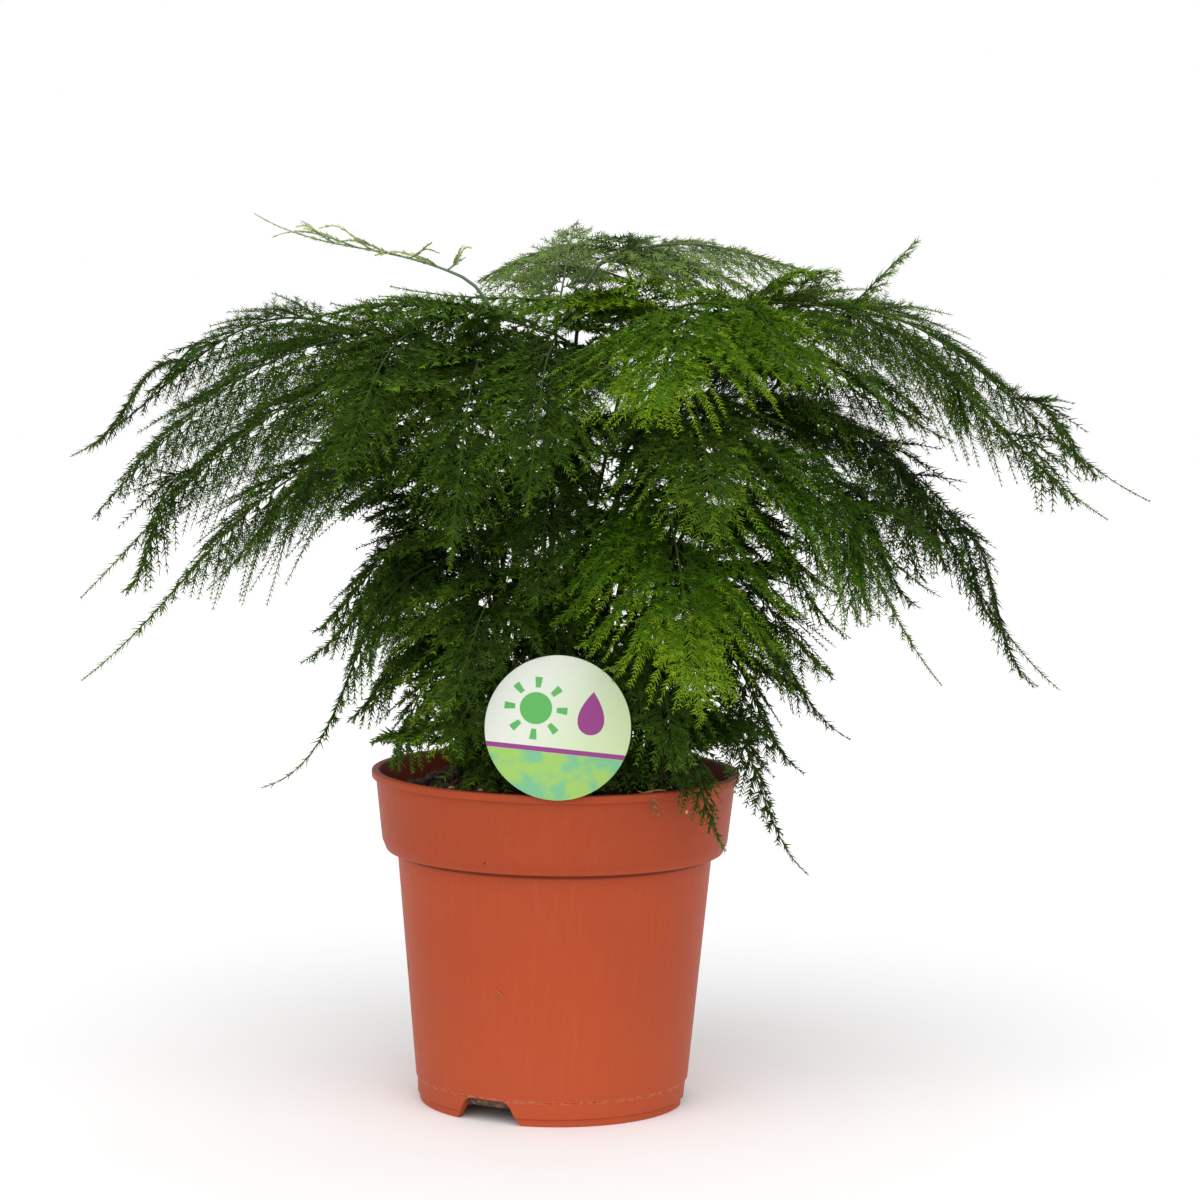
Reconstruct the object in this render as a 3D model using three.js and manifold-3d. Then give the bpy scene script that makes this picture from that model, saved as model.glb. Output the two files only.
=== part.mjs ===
// A lace fern (Asparagus setaceus) in a round nursery pot with a plant label, in millimetres, +Z up.
// Each frond is one wiry stem that rises from the peat, bends over at its shoulder and carries a
// flat tapering blade: side branches in two ranks, each a slim core set with leafy sprigs and
// ending in a brush of needles. The front of the plant faces -Y.
// All sizes are written about the pot's axis, with the foot of the pot at height 0; the finished
// group is then moved so that the middle of its box's underside is the origin.
import * as THREE from "three";
import { mergeVertices } from "three/addons/utils/BufferGeometryUtils.js";
import Module from "manifold-3d";

const wasm = await Module();
wasm.setup();

// ---------------------------------------------------------------- driving dimensions

const GAP = 0.3; // left between pieces that touch
const FINEST = 0.004; // edges shorter than this are closed up
const UP = new THREE.Vector3(0, 0, 1);

// Radii are of the outside. The collar is the wide band under the lip.
const POT = {
  height: 127,
  lipRadius: 70,
  lipHeight: 3,
  lipRound: 0.7,
  collarTopRadius: 68.4,
  collarFootRadius: 65.8,
  collarFoot: 96.5,
  collarCorner: 4.2, // height of the slope under the collar
  collarSlope: 1.7, // width of that slope
  wallTopRadius: 60,
  wallFootRadius: 52,
  baseRadius: 51.4,
  baseStep: 9.4,
  footRadius: 50.4,
  footStep: 3,
  footRing: 3,
  footDraft: 0.6, // the foot ring's inner face leans in by this
  innerCorner: 1.8, // height of the slope inside, above the collar's foot
  floorCorner: 1,
  wall: 1.4,
  floor: 4.2, // height of the floor's underside
  segments: 36,
};

// Three drainage channels run out through the foot, each roofed by a raised part of the floor.
const CHANNEL = {
  count: 3,
  below: 1, // the cut starts this far under the foot
  bearing: -118, // degrees, of the first one
  start: 24, // distance from the axis
  end: 60,
  topWidth: 17.5,
  footWidth: 27.6,
  height: 9,
  drainRadius: 3.5,
  drainAt: 34,
  drainSides: 12,
};

const PEAT = { edgeHeight: 113, crownRise: 7, lumpHeight: 1.3, lumpWidth: 31, rings: 4, segments: 24 };

// A round plastic label on a spike, which leans in over the lip and is pushed into the peat.
const LABEL = {
  radius: 26.5,
  thickness: 0.8,
  x: 1.3,
  y: -71.6,
  z: 152.2,
  segments: 36,
  spikeWidth: 6,
  spikeThickness: 1.2,
  spikeTop: 170,
  spikeBend: 158, // below this height it leans in
  lipPass: new THREE.Vector2(-66, 127.5), // y and z of its middle line beside the lip
  spikeFoot: new THREE.Vector2(-51.8, 80),
};

// A stem stands straight in its hole up to the collar height, then follows its curve.
const STEM = {
  foot: 104,
  collar: 124,
  radius: 1.15,
  shoulderRadius: 0.9,
  tipRadius: 0.45,
  stemSteps: 3,
  bladeSteps: 5,
  rise: 0.5, // share of the rise that the curve starts off upright
  reach: 0.14, // share of the rise that it arrives in the blade's direction
};
const BLADE = { startPull: 0.4, endPull: 0.36, fold: 16, youngFold: -30 };

// Side branches leave the stem every pitch, left and right in turn. Each is a slim core with a
// pair of sprigs every step, and ends in a brush of needles. Angles are in degrees.
const BRANCH = {
  pitch: 16,
  rootAngle: 58, // from the stem, at the shoulder
  tipAngle: 32,
  angleSwing: 7,
  tiltSwing: 9,
  shortest: 0.88, // share of its full length, by draw
  lengthRange: 0.24,
  firstShare: 0.6, // share of the full length that the branches at the shoulder have
  swell: 2.2, // how fast that share grows along the blade
  taper: 0.75, // power of the narrowing towards the tip
  stub: 8, // added to every length, at the shoulder
  tipStub: 4,
  forward: 0.16,
  droop: 0.18,
  rootRadius: 0.3, // in the middle of the stem
  radius: 0.7,
  tipRadius: 0.42,
  step: 14,
  lastStep: 0.85, // share of a step that is still worth a pair of sprigs
  bends: [0, 12, -12, 24, -24], // tried in turn to clear a neighbour
  cuts: [1, 0.7, 0.45], // shares of its length tried after that
};
// A sprig springs from the last part of its step, past `seat`, and is at most `share` of its
// branch long. Towards the end of the branch it is shorter by `fade`.
const SPRIG = { longest: 15, share: 0.6, fade: 0.7, seat: 0.74, lean: 38, tilt: 0.1 };
const NEEDLE = { length: 4.6, lean: 42, base: 1.8, foot: 0.4 };

const TONES = {
  dark: { color: 0x2a4a1e, roughness: 0.72, metalness: 0 },
  mid: { color: 0x3d6420, roughness: 0.7, metalness: 0 },
  bright: { color: 0x5b8a22, roughness: 0.68, metalness: 0 },
  pale: { color: 0xa2b274, roughness: 0.7, metalness: 0 },
};

// root: where the stem leaves the peat, in plan. shoulder: where the foliage begins. tip: its end.
// lift: upward slope at the shoulder. fall: downward slope at the tip. width: longest branch.
// roll: degrees that the blade is turned about its stem. tail: share of it that is a thin tail.
const frond = (name, tone, root, shoulder, tip, lift, fall, width, roll, tail) => ({
  name,
  tone,
  root: new THREE.Vector3(root[0], root[1], STEM.collar),
  shoulder: new THREE.Vector3(...shoulder),
  tip: new THREE.Vector3(...tip),
  lift,
  fall,
  width,
  roll,
  tail,
});

const FRONDS = [
  frond("left_high", "dark", [-24, 8], [-86, 12, 294], [-186, 6, 243], 0.35, 0.5, 34, 35, 0.4),
  frond("left_broad", "dark", [-19, 2], [-44, -18, 286], [-173, -28, 222], 0.35, 1.2, 58, 35, 0.12),
  frond("left_crown", "dark", [-11, 7], [-2, 2, 292], [-94, -4, 297], 0.3, 0.3, 40, 25, 0.1),
  frond("left_middle", "mid", [-22, -8], [-46, -40, 274], [-174, -52, 195], 0.2, 1.0, 58, 30, 0.3),
  frond("left_low", "mid", [-20, -16], [-50, -60, 252], [-171, -72, 167], 0.1, 0.75, 52, 30, 0.36),
  frond("left_under", "dark", [-29, 16], [-56, 28, 252], [-137, 36, 190], 0.1, 0.9, 32, 30, 0.2),
  frond("left_drape", "mid", [-11, -19], [-28, -20, 284], [-37, -112, 212], 0.1, 1.3, 46, 0, 0.2),
  frond("left_drape_outer", "mid", [-16, -8], [-52, -4, 292], [-78, -98, 238], 0.1, 1.0, 44, 8, 0.15),
  frond("middle_drape", "mid", [-4, -13], [-2, -24, 288], [-10, -116, 232], 0.1, 1.0, 44, 0, 0.15),
  frond("left_fan", "dark", [-31, -1], [-44, 2, 217], [-92, 6, 178], 0, 0.7, 34, 35, 0.1),
  frond("left_lower", "dark", [-34, 8], [-40, 18, 206], [-99, 20, 164], 0.1, 0.5, 28, 30, 0.2),
  frond("left_trail", "dark", [-31, -13], [-42, -18, 208], [-111, -12, 120], -0.3, 0.3, 26, 25, 0.45),
  frond("left_inner", "dark", [-37, 1], [-40, 4, 180], [-79, 10, 144], 0.1, 0.8, 26, 25, 0.1),
  frond("left_rim", "dark", [-36, -8], [-38, -20, 166], [-61, -24, 132], 0, 1.6, 24, 20, 0.1),
  frond("left_front", "mid", [-26, -25], [-14, -42, 206], [-38, -92, 160], 0.1, 0.9, 42, 5, 0.1),
  frond("left_fringe", "mid", [-19, -31], [-16, -40, 172], [-38, -82, 146], 0.1, 0.8, 32, 0, 0.1),
  frond("centre_dark", "dark", [2, -6], [2, -14, 250], [-8, -80, 196], 0.1, 0.9, 40, 0, 0.1),
  frond("centre_low", "dark", [4, -22], [6, -24, 212], [-4, -62, 172], 0.1, 0.9, 34, 0, 0.1),
  frond("centre_right", "dark", [25, -26], [28, -36, 188], [46, -84, 140], 0.1, 0.9, 34, -5, 0.1),
  frond("new_shoot", "pale", [-9, 16], [-38, 14, 313], [-117, 10, 336], 0.45, -0.6, 11, 10, 0.3),
  frond("top_light", "bright", [0, 14], [36, 16, 302], [-66, 22, 309], 0.15, -0.2, 36, 20, 0.4),
  frond("top_left", "mid", [2, 28], [20, 58, 321], [-34, 82, 311], 0.4, 0.5, 38, 20, 0.1),
  frond("top_right", "mid", [11, 22], [18, 42, 321], [110, 62, 313], 0.4, 0.2, 34, -20, 0.15),
  frond("top_rise", "mid", [6, 20], [-2, 24, 300], [4, 70, 334], 0.6, -0.4, 34, 0, 0.1),
  frond("right_high", "mid", [14, -4], [66, -6, 303], [206, -12, 226], 0.25, 0.6, 50, -30, 0.2),
  frond("right_outer", "mid", [24, 12], [84, 24, 302], [226, 18, 231], 0.25, 0.45, 50, -30, 0.3),
  frond("right_upright", "mid", [25, 3], [98, 15, 292], [134, 13, 329], 1, -1, 8, 0, 0.1),
  frond("right_shadow", "mid", [20, 6], [60, 10, 288], [150, 6, 253], 0.15, 0.4, 38, -30, 0.2),
  frond("high_fan", "bright", [8, -12], [52, -28, 302], [30, -122, 264], 0.1, 0.7, 60, 0, 0.1),
  frond("crown_fan", "bright", [15, -8], [46, -12, 304], [99, -66, 277], 0.2, 0.6, 44, -15, 0.1),
  frond("middle_fan", "mid", [8, -21], [46, -24, 272], [56, -126, 224], 0.1, 0.8, 56, 0, 0.1),
  frond("low_fan", "bright", [15, -28], [34, -34, 236], [52, -122, 162], 0.1, 1.0, 58, 0, 0.1),
  frond("right_dark", "dark", [30, 8], [70, 20, 264], [193, 16, 158], 0.2, 0.8, 40, -30, 0.32),
  frond("right_back", "dark", [28, 18], [66, 36, 268], [166, 36, 213], 0.1, 0.6, 34, -25, 0.2),
  frond("right_middle", "dark", [32, -2], [60, -18, 250], [143, -22, 197], 0.2, 0.5, 40, -30, 0.25),
  frond("right_bright", "bright", [30, -20], [60, -50, 246], [141, -58, 168], 0.25, 1.1, 48, -30, 0.32),
  frond("right_front", "mid", [34, -14], [48, -38, 210], [101, -62, 172], 0.1, 0.5, 40, -15, 0.1),
  frond("right_pale", "dark", [36, 14], [50, 30, 196], [115, 44, 134], 0.05, 0.5, 30, -20, 0.25),
  frond("right_low", "dark", [39, 4], [46, 2, 182], [94, -10, 128], 0.05, 0.6, 32, -20, 0.2),
  frond("over_rim_right", "dark", [43, -6], [48, -14, 156], [95, -38, 94], 0.5, 0.6, 16, -20, 0.35),
  frond("over_rim_front", "dark", [36, -26], [38, -42, 148], [63, -66, 107], 0.5, 0.9, 15, -10, 0.3),
  frond("back_left", "mid", [-16, 24], [-34, 46, 282], [-112, 128, 214], 0.1, 0.8, 52, 0, 0.2),
  frond("back_middle", "mid", [-6, 34], [-4, 58, 288], [4, 150, 224], 0.1, 0.8, 54, 0, 0.2),
  frond("back_right", "mid", [18, 33], [40, 56, 280], [122, 126, 218], 0.1, 0.8, 52, 0, 0.2),
  frond("back_low_left", "dark", [-24, 31], [-28, 42, 214], [-72, 112, 152], 0, 0.9, 40, 0, 0.15),
  frond("back_low_right", "dark", [28, 28], [32, 44, 212], [70, 118, 154], 0, 0.9, 40, 0, 0.15),
  frond("back_low", "dark", [6, 40], [4, 46, 184], [0, 100, 134], 0, 0.9, 32, 0, 0.1),
];

// ---------------------------------------------------------------- solids

// A draw between 0 and 1 that is the same every time for the same three numbers.
function draw(a, b, c) {
  const v = Math.sin(a * 127.1 + b * 311.7 + c * 74.7) * 43758.5453;
  return v - Math.floor(v);
}

const swing = (a, b, c) => 2 * draw(a, b, c) - 1;

function solidOf(geometry) {
  const bare = geometry.index ? geometry.toNonIndexed() : geometry.clone();
  bare.deleteAttribute("normal");
  bare.deleteAttribute("uv");
  const merged = mergeVertices(bare, 1e-5);
  const corners = merged.index.array;
  const triVerts = [];
  for (let i = 0; i < corners.length; i += 3) {
    const [a, b, c] = corners.slice(i, i + 3);
    if (a !== b && b !== c && c !== a) {
      triVerts.push(a, b, c);
    }
  }
  return new wasm.Manifold(
    new wasm.Mesh({
      numProp: 3,
      vertProperties: new Float32Array(merged.attributes.position.array),
      triVerts: new Uint32Array(triVerts),
    }),
  );
}

function geometryOf(solid) {
  const mesh = solid.getMesh();
  const geometry = new THREE.BufferGeometry();
  geometry.setAttribute("position", new THREE.BufferAttribute(mesh.vertProperties, 3));
  geometry.setIndex(new THREE.BufferAttribute(mesh.triVerts, 1));
  return geometry;
}

// Only the largest body of a join or cut is kept, so no loose scrap or sealed void is left.
function largest(solid) {
  const bodies = solid.simplify(FINEST).decompose();
  return bodies.reduce((best, body) => (body.volume() > best.volume() ? body : best));
}

function meshOf(name, solid, look) {
  const mesh = new THREE.Mesh(geometryOf(solid), new THREE.MeshStandardMaterial(look));
  mesh.name = name;
  return mesh;
}

function turned(profile, segments) {
  const points = profile.map(([radius, height]) => new THREE.Vector2(radius, height));
  return new THREE.LatheGeometry(points, segments).rotateX(Math.PI / 2);
}

function prism(outline, depth) {
  const shape = new THREE.Shape(outline.map(([x, y]) => new THREE.Vector2(x, y)));
  return new THREE.ExtrudeGeometry(shape, { depth, bevelEnabled: false });
}

// ---------------------------------------------------------------- pot

function potProfile() {
  const p = POT;
  const collarTop = p.height - p.lipHeight;
  return [
    [0, p.floor],
    [p.footRadius - p.footRing - p.footDraft, p.floor],
    [p.footRadius - p.footRing, 0],
    [p.footRadius, 0],
    [p.footRadius, p.footStep],
    [p.baseRadius, p.footStep],
    [p.baseRadius, p.baseStep],
    [p.wallFootRadius, p.baseStep],
    [p.wallTopRadius, p.collarFoot],
    [p.collarFootRadius - p.collarSlope, p.collarFoot],
    [p.collarFootRadius, p.collarFoot + p.collarCorner],
    [p.collarTopRadius, collarTop],
    [p.lipRadius, collarTop],
    [p.lipRadius, p.height - p.lipRound],
    [p.lipRadius - p.lipRound, p.height],
    [p.lipRadius - 2 * p.wall, p.height],
    ...potInside(0),
  ];
}

// The inside from the lip down to the middle of the floor, held `gap` clear of the wall.
function potInside(gap) {
  const p = POT;
  const inset = p.wall + gap;
  return [
    [p.lipRadius - 2 * p.wall - gap, p.height - p.lipRound],
    [p.collarFootRadius - inset, p.collarFoot + p.wall + p.innerCorner + gap],
    [p.wallTopRadius - inset, p.collarFoot + p.wall + gap],
    [p.wallFootRadius - inset, p.baseStep],
    [p.baseRadius - inset - p.floorCorner, p.floor + p.wall + gap],
    [0, p.floor + p.wall + gap],
  ];
}

// A tunnel of the channel's section, grown by `grow` all round, along the bearing of one channel.
function channel(index, grow, end) {
  const c = CHANNEL;
  const outline = [
    [-c.footWidth / 2 - grow, -c.below],
    [c.footWidth / 2 + grow, -c.below],
    [c.topWidth / 2 + grow, c.height + grow],
    [-c.topWidth / 2 - grow, c.height + grow],
  ];
  const start = c.start - grow;
  const bearing = THREE.MathUtils.degToRad(c.bearing + (index * 360) / c.count);
  return prism(outline, end - start)
    .translate(0, 0, start)
    .rotateX(Math.PI / 2)
    .rotateZ(bearing + Math.PI / 2);
}

function drain(index) {
  const c = CHANNEL;
  const bearing = THREE.MathUtils.degToRad(c.bearing + (index * 360) / c.count);
  return new THREE.CylinderGeometry(c.drainRadius, c.drainRadius, 4 * POT.wall, c.drainSides)
    .rotateX(Math.PI / 2)
    .translate(c.drainAt * Math.cos(bearing), c.drainAt * Math.sin(bearing), c.height + POT.wall / 2);
}

const channels = [...Array(CHANNEL.count).keys()];

function makePot() {
  let pot = solidOf(turned(potProfile(), POT.segments));
  for (const index of channels) {
    const hood = solidOf(channel(index, POT.wall, POT.baseRadius - POT.wall / 2));
    pot = pot.add(hood.intersect(solidOf(potBlank())));
  }
  for (const index of channels) {
    pot = pot.subtract(solidOf(channel(index, 0, CHANNEL.end))).subtract(solidOf(drain(index)));
  }
  return largest(pot);
}

// The pot's outer form below the peat as a plain solid, to trim what stands on the floor.
function potBlank() {
  const p = POT;
  return turned(
    [
      [0, p.floor],
      [p.baseRadius - p.wall / 2, p.floor],
      [p.wallFootRadius - p.wall / 2, p.collarFoot],
      [0, p.collarFoot],
    ],
    POT.segments,
  );
}

// ---------------------------------------------------------------- peat

// The top of the peat: a low crown with lumps that die away towards the wall.
function peatHeight(x, y) {
  const radius = Math.hypot(x, y) / (POT.collarTopRadius - POT.wall);
  const turn = (2 * Math.PI) / PEAT.lumpWidth;
  const lumps = Math.sin(x * turn + 1) * Math.cos(y * turn) + Math.sin((x / 2 - y) * turn) / 2;
  return PEAT.edgeHeight + PEAT.crownRise * (1 - radius ** 2) + PEAT.lumpHeight * lumps * (1 - radius ** 4);
}

function peatBlank() {
  const inside = potInside(GAP);
  const [lip, ledge] = inside;
  const share = (PEAT.edgeHeight - ledge[1]) / (lip[1] - ledge[1]);
  const rim = ledge[0] + share * (lip[0] - ledge[0]);
  const top = [...Array(PEAT.rings).keys()].map((ring) => [(rim * ring) / PEAT.rings, POT.height]);
  const profile = [...inside.slice(1).reverse(), [rim, PEAT.edgeHeight], ...top.reverse()];
  const geometry = turned(profile, PEAT.segments);
  const position = geometry.attributes.position;
  for (let i = 0; i < position.count; i += 1) {
    if (position.getZ(i) > PEAT.edgeHeight + 1) {
      position.setZ(i, peatHeight(position.getX(i), position.getY(i)));
    }
  }
  return geometry;
}

function stemHole(row) {
  const radius = STEM.radius + 2 * GAP;
  const foot = new THREE.Vector3(row.root.x, row.root.y, STEM.foot - GAP);
  const head = new THREE.Vector3(row.root.x, row.root.y, POT.height);
  return solidOf(rod([foot, head], [radius, radius], curvesOf(row).sideways));
}

function makePeat() {
  let peat = solidOf(peatBlank());
  for (const index of channels) {
    peat = peat.subtract(solidOf(channel(index, POT.wall + GAP, CHANNEL.end)));
  }
  for (const row of FRONDS) {
    peat = peat.subtract(stemHole(row));
  }
  return largest(peat.subtract(solidOf(spike(GAP))));
}

// ---------------------------------------------------------------- label

// The spike as a bent strip, grown by `grow` on every face.
function spike(grow) {
  const l = LABEL;
  const back = l.y + l.spikeThickness / 2;
  const line = [
    new THREE.Vector2(back, l.spikeTop + grow),
    new THREE.Vector2(back, l.spikeBend),
    l.lipPass,
    l.spikeFoot.clone().add(new THREE.Vector2(0, -grow)),
  ];
  const half = l.spikeThickness / 2 + grow;
  const front = line.map((point) => [point.x - half, point.y]);
  const rear = line.map((point) => [point.x + half, point.y]).reverse();
  return prism([...front, ...rear], l.spikeWidth + 2 * grow)
    .rotateX(Math.PI / 2)
    .rotateZ(Math.PI / 2)
    .translate(l.x - l.spikeWidth / 2 - grow, 0, 0);
}

function makeLabel() {
  const l = LABEL;
  const disc = new THREE.CylinderGeometry(l.radius, l.radius, l.thickness, l.segments);
  return largest(solidOf(disc.translate(l.x, l.y, l.z)).add(solidOf(spike(0))));
}

// ---------------------------------------------------------------- fronds

const plus = (point, ...terms) =>
  terms.reduce((sum, [direction, length]) => sum.addScaledVector(direction, length), point.clone());

const drawnOut = ([a, b, c], point) => [
  [a, b, point],
  [b, c, point],
  [c, a, point],
];

// A closed three-sided rod along a line of points, with its ridge towards `ridge`. A pair of
// points in `pairs` draws the outer end of that step's two upper faces out into spikes. With
// `end` the rod closes in a point, and `brush` draws its last three faces out into spikes too.
function rod(points, radii, ridge, { pairs = [], end = null, brush = [] } = {}) {
  const rings = points.map((point, i) => {
    const { up, across } = frameAt(points, i, ridge);
    return [0, 1, 2].map((corner) => {
      const angle = (corner * 2 * Math.PI) / 3;
      return plus(point, [up, radii[i] * Math.cos(angle)], [across, radii[i] * Math.sin(angle)]);
    });
  });
  const [first, last] = [rings[0], rings[rings.length - 1]];
  const faces = [[first[0], first[2], first[1]]];
  for (let step = 0; step < rings.length - 1; step += 1) {
    const [a, b, c] = rings[step];
    const [d, e, f] = rings[step + 1];
    if (pairs[step]) {
      const [right, left] = [b.clone().lerp(e, SPRIG.seat), c.clone().lerp(f, SPRIG.seat)];
      faces.push([a, b, right], [a, right, d], ...drawnOut([right, e, d], pairs[step].right));
      faces.push([c, a, left], [a, d, left], ...drawnOut([d, f, left], pairs[step].left));
      faces.push([b, c, left], [b, left, right], [right, left, f], [right, f, e]);
    } else {
      faces.push([a, b, e], [a, e, d], [b, c, f], [b, f, e], [c, a, d], [c, d, f]);
    }
  }
  if (end) {
    brush.forEach((point, i) => faces.push(...drawnOut([last[i], last[(i + 1) % 3], end], point)));
  } else {
    faces.push(last);
  }
  const geometry = new THREE.BufferGeometry();
  const numbers = faces.flat().flatMap((corner) => corner.toArray());
  geometry.setAttribute("position", new THREE.Float32BufferAttribute(numbers, 3));
  return geometry;
}

// The direction along a line of points at one of them, and the two directions square to it.
function frameAt(points, i, ridge) {
  const [before, after] = [points[Math.max(i - 1, 0)], points[Math.min(i + 1, points.length - 1)]];
  const along = plus(after, [before, -1]).normalize();
  const up = plus(ridge, [along, -ridge.dot(along)]).normalize();
  return { along, up, across: new THREE.Vector3().crossVectors(along, up) };
}

// The curve of a frond: upright from the peat to its shoulder, then out along its blade.
function curvesOf({ root, shoulder, tip, lift, fall }) {
  const head = new THREE.Vector3(tip.x - shoulder.x, tip.y - shoulder.y, 0).normalize();
  const leave = plus(head, [UP, lift]).normalize();
  const arrive = plus(head, [UP, -fall]).normalize();
  const rise = shoulder.z - root.z;
  const span = shoulder.distanceTo(tip);
  const stem = new THREE.CubicBezierCurve3(
    root,
    plus(root, [UP, rise * STEM.rise]),
    plus(shoulder, [leave, -rise * STEM.reach]),
    shoulder,
  );
  const blade = new THREE.CubicBezierCurve3(
    shoulder,
    plus(shoulder, [leave, span * BLADE.startPull]),
    plus(tip, [arrive, -span * BLADE.endPull]),
    tip,
  );
  return { stem, blade, sideways: new THREE.Vector3().crossVectors(head, UP) };
}

function stemOf(row) {
  const { stem, blade, sideways } = curvesOf(row);
  const foot = new THREE.Vector3(row.root.x, row.root.y, STEM.foot);
  const points = [foot, ...stem.getPoints(STEM.stemSteps), ...blade.getPoints(STEM.bladeSteps).slice(1)];
  const tipward = blade.getTangent(1);
  points[points.length - 1] = plus(row.tip, [tipward, -NEEDLE.length]);
  const end = plus(row.tip, [tipward, NEEDLE.base - NEEDLE.length]);
  const radii = points.map((_, i) => {
    const past = i - 1 - STEM.stemSteps;
    return past > 0
      ? THREE.MathUtils.lerp(STEM.shoulderRadius, STEM.tipRadius, past / STEM.bladeSteps)
      : THREE.MathUtils.lerp(STEM.radius, STEM.shoulderRadius, Math.max(0, i - 1) / STEM.stemSteps);
  });
  return solidOf(rod(points, radii, sideways, { end, brush: needles(points, end, sideways) }));
}

const branchCount = (row) => Math.max(3, Math.round(curvesOf(row).blade.getLength() / BRANCH.pitch));

// One side branch with its sprigs, turned by `bend` degrees about the stem and cut to a share.
function branchOf(row, order, index, bend, cut) {
  const { blade, sideways } = curvesOf(row);
  const count = branchCount(row);
  const share = (index + 0.5) / count;
  const start = blade.getPointAt(share);
  const along = blade.getTangentAt(share);
  const normal = new THREE.Vector3().crossVectors(sideways, along);
  const hand = index % 2 ? 1 : -1;
  const fold = row.tone === "pale" ? BLADE.youngFold : BLADE.fold;
  const twist = BRANCH.tiltSwing * swing(order, index, 3) + bend;
  const tilt = THREE.MathUtils.degToRad(row.roll * hand - fold + twist);
  const out = plus(sideways.clone().multiplyScalar(hand * Math.cos(tilt)), [normal, Math.sin(tilt)]);
  const ridge = new THREE.Vector3().crossVectors(out, along).multiplyScalar(hand);
  const angle = THREE.MathUtils.lerp(BRANCH.rootAngle, BRANCH.tipAngle, share);
  const lean = THREE.MathUtils.degToRad(angle + BRANCH.angleSwing * swing(order, index, 2));
  const swell = Math.min(1, BRANCH.firstShare + BRANCH.swell * share);
  const taper = Math.max(0, 1 - share / (1 - row.tail)) ** BRANCH.taper;
  const vary = BRANCH.shortest + BRANCH.lengthRange * draw(order, index, 1);
  const stub = THREE.MathUtils.lerp(BRANCH.stub, BRANCH.tipStub, share);
  const length = (row.width * swell * taper * vary + stub) * cut;
  const heading = plus(along.clone().multiplyScalar(Math.cos(lean)), [out, Math.sin(lean)]);
  const at = (u) =>
    plus(
      start,
      [heading, length * u],
      [along, BRANCH.forward * length * u * u],
      [UP, -BRANCH.droop * length * u * u],
    );

  const core = 1 - NEEDLE.base / length;
  const pairs = Math.floor((core * length) / BRANCH.step + 1 - BRANCH.lastStep);
  const steps = Math.max(1, pairs);
  const points = [...Array(steps + 1).keys()].map((i) => at((core * i) / steps));
  const width = THREE.MathUtils.lerp(STEM.shoulderRadius, STEM.tipRadius, share) / STEM.shoulderRadius;
  const radii = points.map((_, i) => {
    return width * THREE.MathUtils.lerp(BRANCH.radius, BRANCH.tipRadius, i / steps);
  });
  radii[0] = width * BRANCH.rootRadius;
  return solidOf(
    rod(points, radii, ridge, {
      pairs: pairs ? sprigPairs(points, ridge, length) : [],
      end: at(1),
      brush: needles(points, at(1), ridge),
    }),
  );
}

// The tips of the two sprigs on each step of a branch; those near its ends are shorter.
function sprigPairs(points, ridge, length) {
  const lean = THREE.MathUtils.degToRad(SPRIG.lean);
  const steps = points.length - 1;
  return points.slice(1).map((outer, step) => {
    const { along, up, across } = frameAt([points[step], outer], 0, ridge);
    const middle = (1 + SPRIG.seat) / 2;
    const foot = points[step].clone().lerp(outer, middle);
    const share = (step + middle) / steps;
    const reach = Math.min(SPRIG.longest, (1 - SPRIG.fade * share) * length * SPRIG.share);
    const tip = (hand) =>
      plus(
        foot,
        [along, reach * Math.cos(lean)],
        [across, hand * reach * Math.sin(lean)],
        [up, reach * SPRIG.tilt],
      );
    return { right: tip(1), left: tip(-1) };
  });
}

// The tips of the three needles round the last bit of a branch.
function needles(points, end, ridge) {
  const lean = THREE.MathUtils.degToRad(NEEDLE.lean);
  const foot = points[points.length - 1];
  const { along, up, across } = frameAt([foot, end], 0, ridge);
  return [1, 3, 5].map((sixth) => {
    const angle = (sixth * Math.PI) / 3;
    return plus(
      foot.clone().lerp(end, NEEDLE.foot),
      [along, NEEDLE.length * Math.cos(lean)],
      [up, NEEDLE.length * Math.sin(lean) * Math.cos(angle)],
      [across, NEEDLE.length * Math.sin(lean) * Math.sin(angle)],
    );
  });
}

function apart(solid, others) {
  const a = solid.boundingBox();
  return others.every((other) => {
    const b = other.boundingBox();
    const meets = [0, 1, 2].every((axis) => a.min[axis] < b.max[axis] && b.min[axis] < a.max[axis]);
    return !meets || solid.intersect(other).isEmpty();
  });
}

// Whether all the corners of a solid lie further than FINEST apart, so that none run together.
function crisp(solid) {
  const { vertProperties } = solid.getMesh();
  const corners = [];
  for (let i = 0; i < vertProperties.length; i += 3) {
    corners.push(new THREE.Vector3().fromArray(vertProperties, i));
  }
  corners.sort((a, b) => a.x - b.x);
  return corners.every((corner, i) => {
    for (let next = i + 1; next < corners.length && corners[next].x - corner.x < FINEST; next += 1) {
      if (corner.distanceTo(corners[next]) < FINEST) {
        return false;
      }
    }
    return true;
  });
}

// The frond with one more branch: the first of the bends and cuts that clears every neighbour and
// joins the stem cleanly. A branch whose place is full is left out.
function withBranch(frond, row, order, index, neighbours) {
  for (const cut of BRANCH.cuts) {
    for (const bend of BRANCH.bends) {
      const branch = branchOf(row, order, index, bend, cut);
      if (apart(branch, neighbours)) {
        const joined = frond.add(branch).simplify(FINEST);
        if (crisp(joined)) {
          return joined;
        }
      }
    }
  }
  return frond;
}

function makeFronds(fixed) {
  const fronds = FRONDS.map(stemOf);
  FRONDS.forEach((row, order) => {
    const neighbours = [...fixed, ...fronds.filter((_, other) => other !== order)];
    for (let index = 0; index < branchCount(row); index += 1) {
      fronds[order] = withBranch(fronds[order], row, order, index, neighbours);
    }
    fronds[order] = largest(fronds[order]);
  });
  return fronds;
}

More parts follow.
